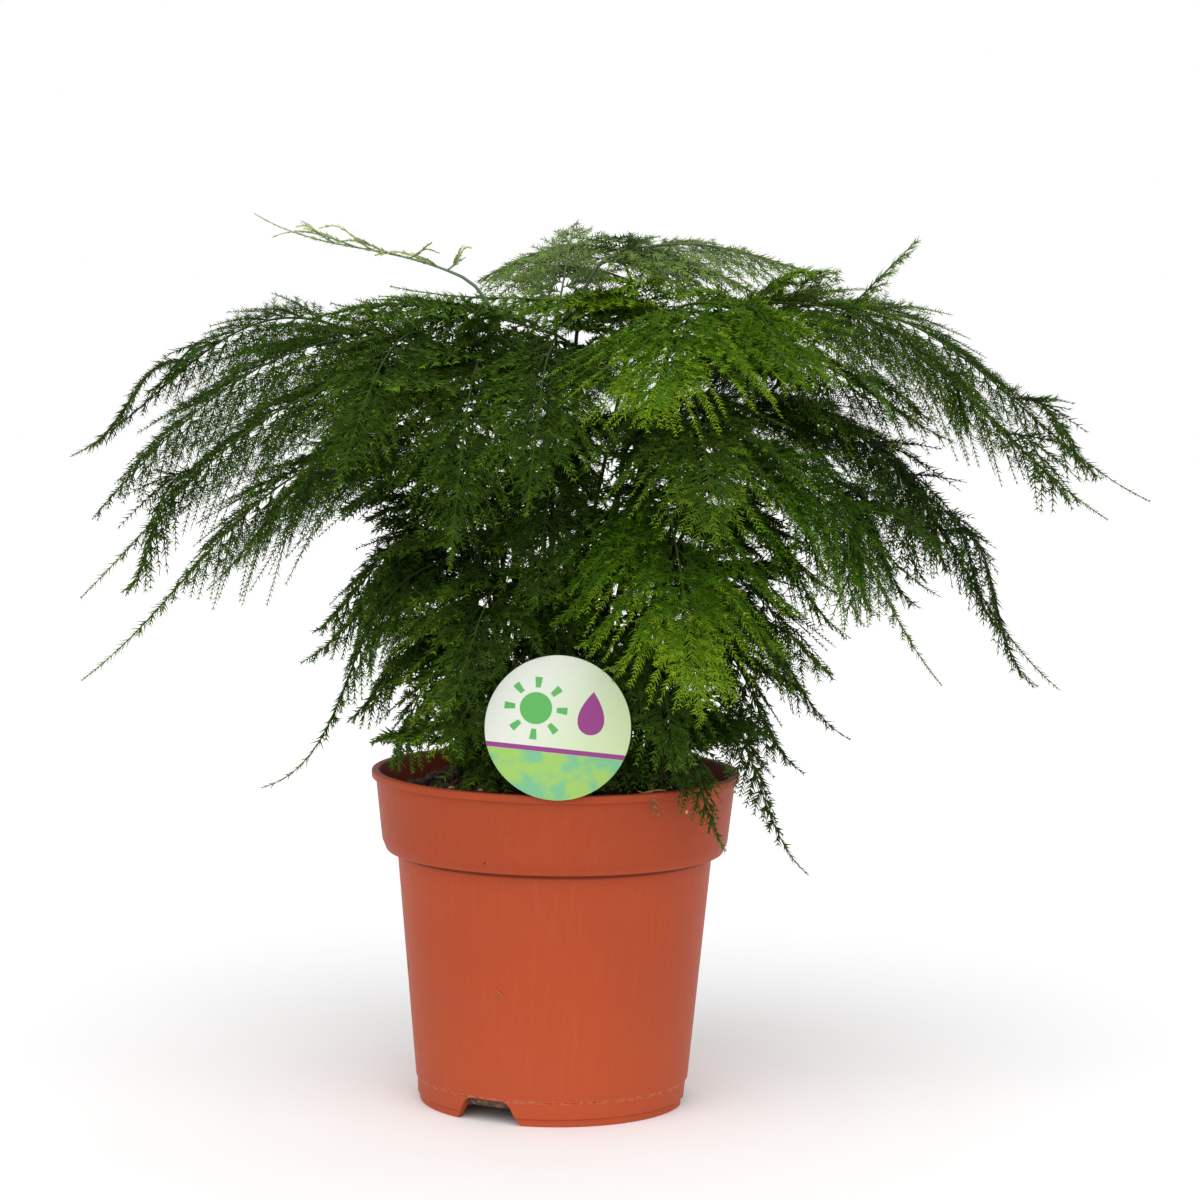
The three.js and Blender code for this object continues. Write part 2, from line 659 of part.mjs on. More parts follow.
// ---------------------------------------------------------------- assembly

const pot = makePot();
const peat = makePeat();
const label = makeLabel();
const fronds = makeFronds([pot, peat, label]);

const plant = new THREE.Group();
plant.add(meshOf("pot", pot, { color: 0xbf573a, roughness: 0.5, metalness: 0 }));
plant.add(meshOf("peat", peat, { color: 0x2b211c, roughness: 0.95, metalness: 0 }));
plant.add(meshOf("plant_label", label, { color: 0xcfe6b0, roughness: 0.35, metalness: 0 }));
FRONDS.forEach((row, order) => plant.add(meshOf(`frond_${row.name}`, fronds[order], TONES[row.tone])));

const box = new THREE.Box3().setFromObject(plant);
const middle = box.getCenter(new THREE.Vector3());
plant.position.set(-middle.x, -middle.y, -box.min.z);

export default plant;
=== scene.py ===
"""A lace fern in a round nursery pot with a plant label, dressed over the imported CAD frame.

Sizes are millimetres about the pot's axis with the foot of the pot at height 0, and become
metres in the row frame by `here`. The front of the plant faces -Y. Every size that a user would
change is in the settings of its piece; the panel in the sidebar has one button for each piece.
"""

import math

import bpy
import numpy as np
from mathutils import Matrix, Vector


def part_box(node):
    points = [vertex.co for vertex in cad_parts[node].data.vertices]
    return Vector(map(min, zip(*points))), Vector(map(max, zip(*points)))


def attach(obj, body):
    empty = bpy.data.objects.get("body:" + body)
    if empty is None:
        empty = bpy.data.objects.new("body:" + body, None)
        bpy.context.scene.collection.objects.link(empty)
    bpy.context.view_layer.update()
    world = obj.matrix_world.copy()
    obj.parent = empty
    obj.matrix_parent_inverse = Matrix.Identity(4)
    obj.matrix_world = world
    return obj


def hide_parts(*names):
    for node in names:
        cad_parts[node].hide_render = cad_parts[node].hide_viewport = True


bl_info = {
    "name": "Lace fern in a nursery pot",
    "version": (1, 0, 0),
    "blender": (4, 5, 0),
    "location": "View3D > Sidebar > Fern",
    "description": "Builds a potted lace fern with its peat and plant label",
    "category": "Object",
}

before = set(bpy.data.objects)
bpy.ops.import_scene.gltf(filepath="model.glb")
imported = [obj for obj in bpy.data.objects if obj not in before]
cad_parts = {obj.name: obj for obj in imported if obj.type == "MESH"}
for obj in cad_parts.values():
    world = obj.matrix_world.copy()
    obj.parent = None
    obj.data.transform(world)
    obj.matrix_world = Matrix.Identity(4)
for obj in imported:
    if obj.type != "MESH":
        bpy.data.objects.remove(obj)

MM = 0.001
POT_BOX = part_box("pot")
AXIS = Vector(((POT_BOX[0].x + POT_BOX[1].x) / 2, (POT_BOX[0].y + POT_BOX[1].y) / 2, 0))
SEED = 2024
UP = np.array([0.0, 0.0, 1.0])

# ---------------------------------------------------------------- the plant

LABEL = (1.3, -71.2, 152.2)  # the middle of the label's disc, on its back
LABEL_BACK = -69.6  # foliage stays behind this plane where the disc is
SIGHT_SLOPE = 0.135  # how steeply one looks down on the label
COLLAR = 124  # height at which a stem comes out of its hole in the peat
HOLE_FOOT, STEM_GAP = 104, 0.3  # the hole's bottom, and the stem's clearance above it

# name, tone, root in plan, shoulder, tip, lift, fall, width, roll, tail: the same rows as the
# solids. The root is where the stem leaves the peat, the shoulder where the foliage begins.
# Lift and fall are how steeply the blade's line leaves the shoulder and comes down at the tip,
# width is that of its half, roll turns its halves, and tail is the share that thins out.
FRONDS = [
    ("left_high", "dark", (-24, 8), (-86, 12, 294), (-186, 6, 243), 0.35, 0.5, 34, 35, 0.4),
    ("left_broad", "dark", (-19, 2), (-44, -18, 286), (-173, -28, 222), 0.35, 1.2, 58, 35, 0.12),
    ("left_crown", "dark", (-11, 7), (-2, 2, 292), (-94, -4, 297), 0.3, 0.3, 40, 25, 0.1),
    ("left_middle", "mid", (-22, -8), (-46, -40, 274), (-174, -52, 195), 0.2, 1.0, 58, 30, 0.3),
    ("left_low", "mid", (-20, -16), (-50, -60, 252), (-171, -72, 167), 0.1, 0.75, 52, 30, 0.36),
    ("left_under", "dark", (-29, 16), (-56, 28, 252), (-137, 36, 190), 0.1, 0.9, 32, 30, 0.2),
    ("left_drape", "mid", (-11, -19), (-28, -20, 284), (-37, -112, 212), 0.1, 1.3, 46, 0, 0.2),
    ("left_drape_outer", "mid", (-16, -8), (-52, -4, 292), (-78, -98, 238), 0.1, 1.0, 44, 8, 0.15),
    ("middle_drape", "mid", (-4, -13), (-2, -24, 288), (-10, -116, 232), 0.1, 1.0, 44, 0, 0.15),
    ("left_fan", "dark", (-31, -1), (-44, 2, 217), (-92, 6, 178), 0, 0.7, 34, 35, 0.1),
    ("left_lower", "dark", (-34, 8), (-40, 18, 206), (-99, 20, 164), 0.1, 0.5, 28, 30, 0.2),
    ("left_trail", "dark", (-31, -13), (-42, -18, 208), (-111, -12, 120), -0.3, 0.3, 26, 25, 0.45),
    ("left_inner", "dark", (-37, 1), (-40, 4, 180), (-79, 10, 144), 0.1, 0.8, 26, 25, 0.1),
    ("left_rim", "dark", (-36, -8), (-38, -20, 166), (-61, -24, 132), 0, 1.6, 24, 20, 0.1),
    ("left_front", "mid", (-26, -25), (-14, -42, 206), (-38, -92, 160), 0.1, 0.9, 42, 5, 0.1),
    ("left_fringe", "mid", (-19, -31), (-16, -40, 172), (-38, -82, 146), 0.1, 0.8, 32, 0, 0.1),
    ("centre_dark", "dark", (2, -6), (2, -14, 250), (-8, -80, 196), 0.1, 0.9, 40, 0, 0.1),
    ("centre_low", "dark", (4, -22), (6, -24, 212), (-4, -62, 172), 0.1, 0.9, 34, 0, 0.1),
    ("centre_right", "dark", (25, -26), (28, -36, 188), (46, -84, 140), 0.1, 0.9, 34, -5, 0.1),
    ("new_shoot", "pale", (-9, 16), (-38, 14, 313), (-117, 10, 336), 0.45, -0.6, 11, 10, 0.3),
    ("top_light", "bright", (0, 14), (36, 16, 302), (-66, 22, 309), 0.15, -0.2, 36, 20, 0.4),
    ("top_left", "mid", (2, 28), (20, 58, 321), (-34, 82, 311), 0.4, 0.5, 38, 20, 0.1),
    ("top_right", "mid", (11, 22), (18, 42, 321), (110, 62, 313), 0.4, 0.2, 34, -20, 0.15),
    ("top_rise", "mid", (6, 20), (-2, 24, 300), (4, 70, 334), 0.6, -0.4, 34, 0, 0.1),
    ("right_high", "mid", (14, -4), (66, -6, 303), (206, -12, 226), 0.25, 0.6, 50, -30, 0.2),
    ("right_outer", "mid", (24, 12), (84, 24, 302), (226, 18, 231), 0.25, 0.45, 50, -30, 0.3),
    ("right_upright", "mid", (25, 3), (98, 15, 292), (134, 13, 329), 1, -1, 8, 0, 0.1),
    ("right_shadow", "mid", (20, 6), (60, 10, 288), (150, 6, 253), 0.15, 0.4, 38, -30, 0.2),
    ("high_fan", "bright", (8, -12), (52, -28, 302), (30, -122, 264), 0.1, 0.7, 60, 0, 0.1),
    ("crown_fan", "bright", (15, -8), (46, -12, 304), (99, -66, 277), 0.2, 0.6, 44, -15, 0.1),
    ("middle_fan", "mid", (8, -21), (46, -24, 272), (56, -126, 224), 0.1, 0.8, 56, 0, 0.1),
    ("low_fan", "bright", (15, -28), (34, -34, 236), (52, -122, 162), 0.1, 1.0, 58, 0, 0.1),
    ("right_dark", "dark", (30, 8), (70, 20, 264), (193, 16, 158), 0.2, 0.8, 40, -30, 0.32),
    ("right_back", "dark", (28, 18), (66, 36, 268), (166, 36, 213), 0.1, 0.6, 34, -25, 0.2),
    ("right_middle", "dark", (32, -2), (60, -18, 250), (143, -22, 197), 0.2, 0.5, 40, -30, 0.25),
    ("right_bright", "bright", (30, -20), (60, -50, 246), (141, -58, 168), 0.25, 1.1, 48, -30, 0.32),
    ("right_front", "mid", (34, -14), (48, -38, 210), (101, -62, 172), 0.1, 0.5, 40, -15, 0.1),
    ("right_pale", "dark", (36, 14), (50, 30, 196), (115, 44, 134), 0.05, 0.5, 30, -20, 0.25),
    ("right_low", "dark", (39, 4), (46, 2, 182), (94, -10, 128), 0.05, 0.6, 32, -20, 0.2),
    ("over_rim_right", "dark", (43, -6), (48, -14, 156), (95, -38, 94), 0.5, 0.6, 16, -20, 0.35),
    ("over_rim_front", "dark", (36, -26), (38, -42, 148), (63, -66, 107), 0.5, 0.9, 15, -10, 0.3),
    ("back_left", "mid", (-16, 24), (-34, 46, 282), (-112, 128, 214), 0.1, 0.8, 52, 0, 0.2),
    ("back_middle", "mid", (-6, 34), (-4, 58, 288), (4, 150, 224), 0.1, 0.8, 54, 0, 0.2),
    ("back_right", "mid", (18, 33), (40, 56, 280), (122, 126, 218), 0.1, 0.8, 52, 0, 0.2),
    ("back_low_left", "dark", (-24, 31), (-28, 42, 214), (-72, 112, 152), 0, 0.9, 40, 0, 0.15),
    ("back_low_right", "dark", (28, 28), (32, 44, 212), (70, 118, 154), 0, 0.9, 40, 0, 0.15),
    ("back_low", "dark", (6, 40), (4, 46, 184), (0, 100, 134), 0, 0.9, 32, 0, 0.1),
]


# ---------------------------------------------------------------- helpers


def here(x, y, z):
    """A point in metres in the row frame, from millimetres about the pot's axis."""
    return AXIS + Vector((x, y, z)) * MM


def mode(kind):
    """Puts the active object in edit mode or back in object mode."""
    bpy.ops.object.mode_set(mode=kind)


def edit_all():
    """Enters edit mode with the whole mesh selected."""
    mode("EDIT")
    bpy.ops.mesh.select_all(action="SELECT")


def deselect():
    """Leaves nothing selected and no object in edit mode."""
    if bpy.context.object and bpy.context.object.mode != "OBJECT":
        mode("OBJECT")
    bpy.ops.object.select_all(action="DESELECT")


def pick(piece):
    """Selects this piece alone and makes it active."""
    deselect()
    piece.select_set(True)
    bpy.context.view_layer.objects.active = piece


def settle(piece, name, angle):
    """Names a finished piece, puts its place in its mesh and smooths it up to an angle."""
    pick(piece)
    piece.name = piece.data.name = name
    bpy.ops.object.transform_apply(location=True, rotation=True, scale=True)
    edit_all()
    bpy.ops.mesh.normals_make_consistent(inside=False)
    mode("OBJECT")
    bpy.ops.object.shade_smooth_by_angle(angle=math.radians(angle))


def declare(piece, look, slot, *nodes):
    """Gives a piece its material; it rides with the plant and stands for its nodes."""
    piece.data.materials.clear()
    piece.data.materials.append(look)
    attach(piece, "root")
    if nodes:
        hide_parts(*nodes)


def cut(piece, tool, operation="DIFFERENCE"):
    """Cuts, joins or trims a piece with a tool solid, which is then removed."""
    pick(piece)
    modifier = piece.modifiers.new("Cut", "BOOLEAN")
    modifier.object, modifier.operation, modifier.solver = tool, operation, "EXACT"
    bpy.ops.object.modifier_apply(modifier=modifier.name)
    bpy.data.objects.remove(tool)


def scaled_cube(size, place, turn=0):
    """A block in edit mode, of a size in millimetres at a place in metres, turned about Z."""
    deselect()
    bpy.ops.mesh.primitive_cube_add(size=1, location=place, rotation=(0, 0, turn))
    block = bpy.context.object
    block.scale = Vector(size) * MM
    bpy.ops.object.transform_apply(location=False, rotation=False, scale=True)
    mode("EDIT")
    return block


def push_out(step):
    """Extrudes the selected faces by a step in metres."""
    bpy.ops.mesh.extrude_region_move(TRANSFORM_OT_translate={"value": step})


def select_where(piece, kind, test):
    """In edit mode, selects the vertices, edges or faces whose middle passes the test."""
    bpy.ops.mesh.select_mode(type=kind)
    bpy.ops.mesh.select_all(action="DESELECT")
    mode("OBJECT")
    mesh = piece.data
    for part in {"VERT": mesh.vertices, "EDGE": mesh.edges, "FACE": mesh.polygons}[kind]:
        corners = [part.index] if kind == "VERT" else part.vertices
        middle = sum((mesh.vertices[i].co for i in corners), Vector()) / len(corners)
        part.select = test(piece.matrix_world @ middle)
    mode("EDIT")


def rounded(corners, steps=4):
    """A profile of (radius, height) points, each corner (radius, height, round) made an arc."""
    points = []
    for index, corner in enumerate(corners):
        place = Vector(corner[:2])
        if len(corner) < 3 or index in (0, len(corners) - 1):
            points.append(place)
            continue
        back = (Vector(corners[index - 1][:2]) - place).normalized()
        ahead = (Vector(corners[index + 1][:2]) - place).normalized()
        half = back.angle(ahead) / 2
        run = corner[2] / math.tan(half)
        middle = place + (back + ahead).normalized() * corner[2] / math.sin(half)
        start, end = place + back * run - middle, place + ahead * run - middle
        sweep = start.angle_signed(end)
        for step in range(steps + 1):
            points.append(middle + Matrix.Rotation(-sweep * step / steps, 2) @ start)
    return points


def turned(profile, sides):
    """A closed solid turned about the pot's axis from a profile that starts and ends flat."""
    deselect()
    radius, height = profile[0]
    bpy.ops.mesh.primitive_circle_add(
        vertices=sides, radius=radius * MM, fill_type="NGON", location=here(0, 0, height)
    )
    piece = bpy.context.object
    mode("EDIT")
    bpy.ops.mesh.select_mode(type="EDGE")
    bpy.ops.mesh.select_all(action="SELECT")
    for last, point in zip(profile, profile[1:]):
        step = (0, 0, (point[1] - last[1]) * MM)
        bpy.ops.mesh.extrude_edges_move(TRANSFORM_OT_translate={"value": step})
        grow = point[0] / last[0]
        bpy.ops.transform.resize(value=(grow, grow, 1), center_override=here(0, 0, point[1]))
    bpy.ops.mesh.edge_face_add()
    mode("OBJECT")
    return piece


# ---------------------------------------------------------------- materials


class Sheet:
    """A material's node tree, with short ways to add and join its nodes."""

    def __init__(self, tree):
        self.tree = tree

    def add(self, kind, inputs=None, **values):
        """A node with its settings; an input is a value or another node's output."""
        node = self.tree.nodes.new(kind)
        for key, value in values.items():
            setattr(node, key, value)
        for key, value in (inputs or {}).items():
            self.feed(node.inputs[key], value)
        return node

    def feed(self, socket, value):
        """Sets a socket to a value, or joins it to an output."""
        if isinstance(value, bpy.types.NodeSocket):
            self.tree.links.new(value, socket)
        else:
            socket.default_value = value

    def sum(self, operation, *values):
        """The output of a Math node."""
        inputs = dict(enumerate(values))
        return self.add("ShaderNodeMath", inputs, operation=operation).outputs[0]

    def times(self, first, second):
        """Two values multiplied."""
        return self.sum("MULTIPLY", first, second)

    def vector(self, operation, *values):
        """The output of a Vector Math node."""
        node = self.add("ShaderNodeVectorMath", dict(enumerate(values)), operation=operation)
        return node.outputs["Value" if operation == "DISTANCE" else "Vector"]

    def split(self, vector):
        """The X, Y and Z of a vector."""
        return self.add("ShaderNodeSeparateXYZ", {"Vector": vector}).outputs

    def mix(self, amount, first, second, blend="MIX"):
        """The output of a colour Mix node."""
        node = self.add("ShaderNodeMix", data_type="RGBA", blend_type=blend)
        self.feed(node.inputs["Factor"], amount)
        self.feed(node.inputs[6], first)
        self.feed(node.inputs[7], second)
        return node.outputs[2]

    def cover(self, shade, mask, strength, tint):
        """A shade with an sRGB colour laid over it where a mask is."""
        return self.mix(self.times(mask, strength), shade, colour(*tint))

    def ramp(self, amount, low, high, first=0.0, second=1.0):
        """Turns low..high of a value into first..second, smoothly and held at the ends."""
        node = self.add("ShaderNodeMapRange", interpolation_type="SMOOTHSTEP")
        for key, value in enumerate((amount, low, high, first, second)):
            self.feed(node.inputs[key], value)
        return node.outputs[0]

    def near(self, amount, level, outer, inner):
        """1 where a value is within `inner` of a level, and 0 past `outer`."""
        return self.ramp(self.sum("ABSOLUTE", self.sum("SUBTRACT", amount, level)), outer, inner)

    def noise(self, place, scale, detail=3.0, rough=0.55):
        """The value of a Noise texture at a place."""
        inputs = {"Vector": place, "Scale": scale, "Detail": detail, "Roughness": rough}
        return self.add("ShaderNodeTexNoise", inputs).outputs["Fac"]

    def surface(self, shade, rough=None, bump=None):
        """Joins the shader's colour, its roughness and a bump of (strength, distance, height)."""
        shader = self.tree.nodes["Principled BSDF"].inputs
        self.feed(shader["Base Color"], shade)
        if rough is not None:
            self.feed(shader["Roughness"], rough)
        if bump is not None:
            inputs = dict(zip(("Strength", "Distance", "Height"), bump))
            self.feed(shader["Normal"], self.add("ShaderNodeBump", inputs).outputs[0])


def colour(red, green, blue):
    """A linear RGBA colour from three sRGB values of 0 to 255."""

    def linear(value):
        share = value / 255
        return share / 12.92 if share <= 0.04045 else ((share + 0.055) / 1.055) ** 2.4

    return (linear(red), linear(green), linear(blue), 1.0)


def opaque(setting):
    """The colour of a setting, with the alpha that a socket needs."""
    return (*setting, 1.0)


def material(name, roughness, specular=0.5):
    """A new material with a Principled shader, and the sheet of its nodes."""
    made = bpy.data.materials.new(name)
    made.use_nodes = True
    shader = made.node_tree.nodes["Principled BSDF"].inputs
    shader["Roughness"].default_value = roughness
    shader["Specular IOR Level"].default_value = specular
    return made, Sheet(made.node_tree)


def group(name, inputs, outputs):
    """A shader node group with named sockets, and its sheet and two ends."""
    tree = bpy.data.node_groups.new(name, "ShaderNodeTree")
    for side, sockets in (("INPUT", inputs), ("OUTPUT", outputs)):
        for key, kind in sockets.items():
            tree.interface.new_socket(name=key, in_out=side, socket_type=f"NodeSocket{kind}")
    start, end = tree.nodes.new("NodeGroupInput"), tree.nodes.new("NodeGroupOutput")
    return tree, Sheet(tree), start.outputs, end.inputs


def own_place(sheet):
    """Object coordinates in millimetres about the pot's axis."""
    place = sheet.add("ShaderNodeTexCoord").outputs["Object"]
    moved = {"Vector": sheet.vector("SUBTRACT", place, tuple(AXIS)), "Scale": 1 / MM}
    return sheet.add("ShaderNodeVectorMath", moved, operation="SCALE").outputs["Vector"]


# ---------------------------------------------------------------- pot

CHANNELS = (-118, 2, 122)  # bearings of the three drainage channels under the foot
CHANNEL_START, CHANNEL_WIDTH = 24, 27.6  # distance from the axis, and width at the floor
CHANNEL_TAPER, CHANNEL_ROUND = 10.1, 2.6  # how much narrower the roof is, and its corners
BELOW = 1  # how far the tool of a channel starts below the floor
HOOD_WALL = 1.4  # wall of the hood that covers each channel inside
DRAIN_AT, DRAIN_HEIGHT, DRAIN_RADIUS, DRAIN_DEPTH = 34, 9.7, 3.5, 5.6  # a drain hole's tool
LEDGE, COLLAR_SHADE_LINE = 9.3, 95.6  # heights of the rubbed ledge and of the painted shade line in the corner under the collar


def channel(bearing, grow, reach):
    """A tunnel under the foot with rounded upper corners, grown by `grow` on every side."""
    pot = bpy.context.scene.fern_pot
    start, width = CHANNEL_START - grow, CHANNEL_WIDTH + 2 * grow
    height = pot.notch_height / MM + grow
    turn = math.radians(bearing)
    along = Vector((math.cos(turn), math.sin(turn), 0))
    middle = here(0, 0, (height - BELOW) / 2) + along * (start + reach) / 2 * MM
    tool = scaled_cube((reach - start, width, height + BELOW), middle, turn)
    top = middle.z + (height + BELOW) * MM * 0.4
    select_where(tool, "VERT", lambda place: place.z > top)
    narrow = (width - CHANNEL_TAPER) / width
    bpy.ops.transform.resize(value=(1, narrow, 1), orient_type="LOCAL")
    select_where(tool, "EDGE", lambda place: place.z > top)
    bpy.ops.mesh.bevel(offset=CHANNEL_ROUND * MM, segments=5, affect="EDGES")
    mode("OBJECT")
    return tool


def drain(bearing):
    """A round hole through the roof of a channel."""
    deselect()
    turn = math.radians(bearing)
    place = here(DRAIN_AT * math.cos(turn), DRAIN_AT * math.sin(turn), DRAIN_HEIGHT)
    bpy.ops.mesh.primitive_cylinder_add(
        vertices=24, radius=DRAIN_RADIUS * MM, depth=DRAIN_DEPTH * MM, location=place
    )
    return bpy.context.object


def pot_profile(pot):
    """The pot's section from the floor's underside, over the lip, to the floor inside."""
    top, lip = pot.height / MM, pot.lip_radius / MM
    collar, foot = pot.collar_foot / MM, pot.foot_radius / MM
    wall = pot.wall / MM
    return rounded([
        (foot - 3.6, 4.2),
        (foot - 3, 0, 0.4),
        (foot, 0, 0.5),
        (foot, 3, 0.2),
        (foot + 0.9, 3, 0.3),
        (foot + 1, 9.4, 0.45),
        (foot + 1.6, 9.5, 0.25),
        (foot + 9.6, collar, 0.6),
        (foot + 13.7, collar, 1.0),
        (foot + 15.4, collar + 4.2, 2.4),
        (lip - 1.6, top - 3, 0.35),
        (lip, top - 2.9, 0.5),
        (lip, top, 0.7),
        (lip - 2 * wall, top, 0.7),
        (foot + 15.4 - wall, collar + 3.2, 2),
        (foot + 9.6 - wall, collar + 1.4, 2),
        (foot + 1.6 - wall, 9.4, 1),
        (foot - 1.4, 5.6, 0.8),
        (foot - 24, 5.6),
    ])


def wear_group():
    """Scuffs: a mask of fine broken scratches and rubbed spots, from a place in millimetres."""
    tree, sheet, given, out = group(
        "scuffs", {"Place": "Vector", "Density": "Float"}, {"Mask": "Float"}
    )
    rubbed = sheet.noise(given["Place"], 0.9, 4.0, 0.7)
    broad = sheet.noise(given["Place"], 0.09, 2.0)
    worn = sheet.times(rubbed, sheet.ramp(broad, 0.4, 0.62))
    edge = sheet.sum("SUBTRACT", 0.62, sheet.times(given["Density"], 0.3))
    sheet.feed(out["Mask"], sheet.ramp(worn, edge, sheet.sum("ADD", edge, 0.08)))
    return tree


# middle, radius, strength and colour of the small marks on the wall
POT_MARKS = (
    ((-25.1, -61.2, 100.3), 0.9, 0.9, (70, 30, 20)),
    ((-53.6, -11.0, 52.5), 3.4, 0.85, (92, 44, 28)),
    ((22.0, -51.5, 71.0), 0.6, 0.7, (96, 44, 26)),
    ((49.1, -46.9, 118.4), 1.0, 0.8, (226, 186, 152)),
    ((-8.0, -51.0, 38.0), 0.5, 0.6, (90, 40, 24)),
)


def pot_material(pot, scuffs):
    """Matte orange-brown moulded plastic with faint streaks, a rubbed ledge and a few marks; painted
    shade darkens the collar and the corner under it, and painted light lightens the wall towards the
    foot.
    """
    made, sheet = material("pot_plastic", 0.42, 0.1)
    place = own_place(sheet)
    height = sheet.split(place)["Z"]
    cloud = sheet.ramp(sheet.noise(place, 0.03), 0.3, 0.7)
    shade = sheet.cover(opaque(pot.colour), cloud, 0.35, (182, 76, 36))
    upright = sheet.vector("MULTIPLY", place, (1.0, 1.0, 0.03))
    streaks = sheet.ramp(sheet.noise(upright, 0.42, 4.0), 0.5, 0.72)
    shade = sheet.cover(shade, streaks, 0.1, (198, 96, 58))
    mottle = sheet.noise(place, 1.6, 5.0, 0.7)
    shade = sheet.cover(shade, sheet.ramp(mottle, 0.45, 0.75), 0.12, (140, 50, 22))
    broken = sheet.ramp(sheet.noise(place, 0.5), 0.44, 0.6)
    rubbed = sheet.times(sheet.near(height, LEDGE, 0.9, 0.3), broken)
    shade = sheet.cover(shade, rubbed, 0.42, (214, 144, 112))
    # painted shade: the collar darker, as in the shadow of the foliage above it
    shade = sheet.mix(sheet.ramp(height, 96, 99, 0, 0.16), shade, colour(96, 36, 22))
    # painted light: the wall lighter towards the foot, as if lit from the floor
    shade = sheet.mix(sheet.ramp(height, 70, 4, 0, 0.12), shade, colour(214, 116, 76))
    # painted shade: a dark line in the corner under the collar's overhang
    shade = sheet.cover(shade, sheet.near(height, COLLAR_SHADE_LINE, 1.3, 0.4), 0.8, (96, 36, 20))
    worn = sheet.add("ShaderNodeGroup", {"Place": place, "Density": 0.42}, node_tree=scuffs)
    scuff = worn.outputs["Mask"]
    shade = sheet.cover(shade, scuff, 0.045, (212, 132, 100))
    for middle, radius, dark, tint in POT_MARKS:
        away = sheet.vector("DISTANCE", place, middle)
        shade = sheet.cover(shade, sheet.ramp(away, radius, radius * 0.4), dark, tint)
    rough = sheet.sum("ADD", sheet.ramp(mottle, 0.3, 0.8, 0.42, 0.54), sheet.times(scuff, 0.12))
    grain = sheet.noise(place, 2.6, 4.0, 0.6)
    relief = sheet.sum("ADD", sheet.times(grain, 0.5), streaks)
    sheet.surface(shade, rough, (0.1, 0.0002, relief))
    return made


class FernPotSettings(bpy.types.PropertyGroup):
    """Sizes and colour of the pot."""

    height: bpy.props.FloatProperty(
        name="Height", description="Height over all", default=0.127, unit="LENGTH"
    )
    lip_radius: bpy.props.FloatProperty(
        name="Lip radius", description="Outer radius at the lip", default=0.07, unit="LENGTH"
    )
    foot_radius: bpy.props.FloatProperty(
        name="Foot radius", description="Outer radius of the foot", default=0.0504, unit="LENGTH"
    )
    collar_foot: bpy.props.FloatProperty(
        name="Collar foot", description="Height of the collar's underside",
        default=0.0965, unit="LENGTH",
    )
    wall: bpy.props.FloatProperty(
        name="Wall", description="Thickness of the wall", default=0.0014, unit="LENGTH"
    )
    notch_height: bpy.props.FloatProperty(
        name="Notch height", description="Height of the drainage channels",
        default=0.009, unit="LENGTH",
    )
    colour: bpy.props.FloatVectorProperty(
        name="Colour", description="Colour of the plastic", subtype="COLOR", size=3,
        min=0, max=1, default=colour(172, 74, 44)[:3],
    )


class FernBuildPot(bpy.types.Operator):
    """Builds the nursery pot with its collar, lip and drainage channels."""

    bl_idname = "fern.build_pot"
    bl_label = "Pot"

    def execute(self, context):
        pot = context.scene.fern_pot
        piece = turned(pot_profile(pot), 144)
        for bearing in CHANNELS:
            hood = channel(bearing, HOOD_WALL, 51)
            cut(hood, turned([(50.8, 4.2), (51.6, 20)], 72), "INTERSECT")
            cut(piece, hood, "UNION")
        for bearing in CHANNELS:
            cut(piece, channel(bearing, 0, 60))
            cut(piece, drain(bearing))
        settle(piece, "nursery_pot", 30)
        declare(piece, pot_material(pot, wear_group()), "pot_plastic", "pot")
        return {"FINISHED"}


# ---------------------------------------------------------------- peat

PEAT_TOP, PEAT_CROWN, PEAT_REACH = 113, 7, 67.0  # height at the wall, rise inside, radius
LUMP_PITCH = 31  # distance from lump to lump
BED_EDGE, RING_STEP, RINGS = 66.1, 1.25, 52  # radius of the bed's top, and its rings inwards
BED_FOOT = ((40, 5.9), (48.6, 5.9), (50.2, 9.4), (58.2, 98.0), (64.0, 100.0))  # radius, height
CRUMB_REACH, STRAW_REACH = 62.5, 61  # radius of the litter


def draw(a, b, c):
    """A number between 0 and 1 that is the same every time for the same three numbers."""
    value = np.sin(np.asarray(a * 127.1 + b * 311.7 + c * 74.7)) * 43758.5453
    return value - np.floor(value)


def peat_height(x, y):
    """The top of the peat: a low crown, lumps that die away towards the wall, two mounds."""
    radius = np.hypot(x, y) / PEAT_REACH
    turn = 2 * math.pi / LUMP_PITCH
    lumps = np.sin(x * turn + 1) * np.cos(y * turn) + np.sin((x / 2 - y) * turn) / 2
    mound = 8 * np.exp(-((x + 40) ** 2 + (y - 4) ** 2) / 520)
    mound += 4 * np.exp(-((x - 26) ** 2 + (y - 22) ** 2) / 300)
    crown = PEAT_TOP + PEAT_CROWN * (1 - radius**2)
    return crown + 1.3 * lumps * (1 - radius**4) + mound * (1 - radius**6)


def unevenness(x, y):
    """Layers of crossed waves, each finer and lower than the last, at seeded bearings."""
    total = np.zeros(len(x))
    for layer in range(6):
        scale = 0.16 * 1.7**layer
        turn = draw(layer, 1, 2) * math.pi
        along = x * math.cos(turn) + y * math.sin(turn)
        across = y * math.cos(turn) - x * math.sin(turn)
        wave = np.sin(along * scale + 9 * draw(layer, 3, 1))
        wave *= np.sin(across * scale * 1.3 + 9 * draw(layer, 5, 1))
        total += wave * 1.1 / 1.45**layer
    return total


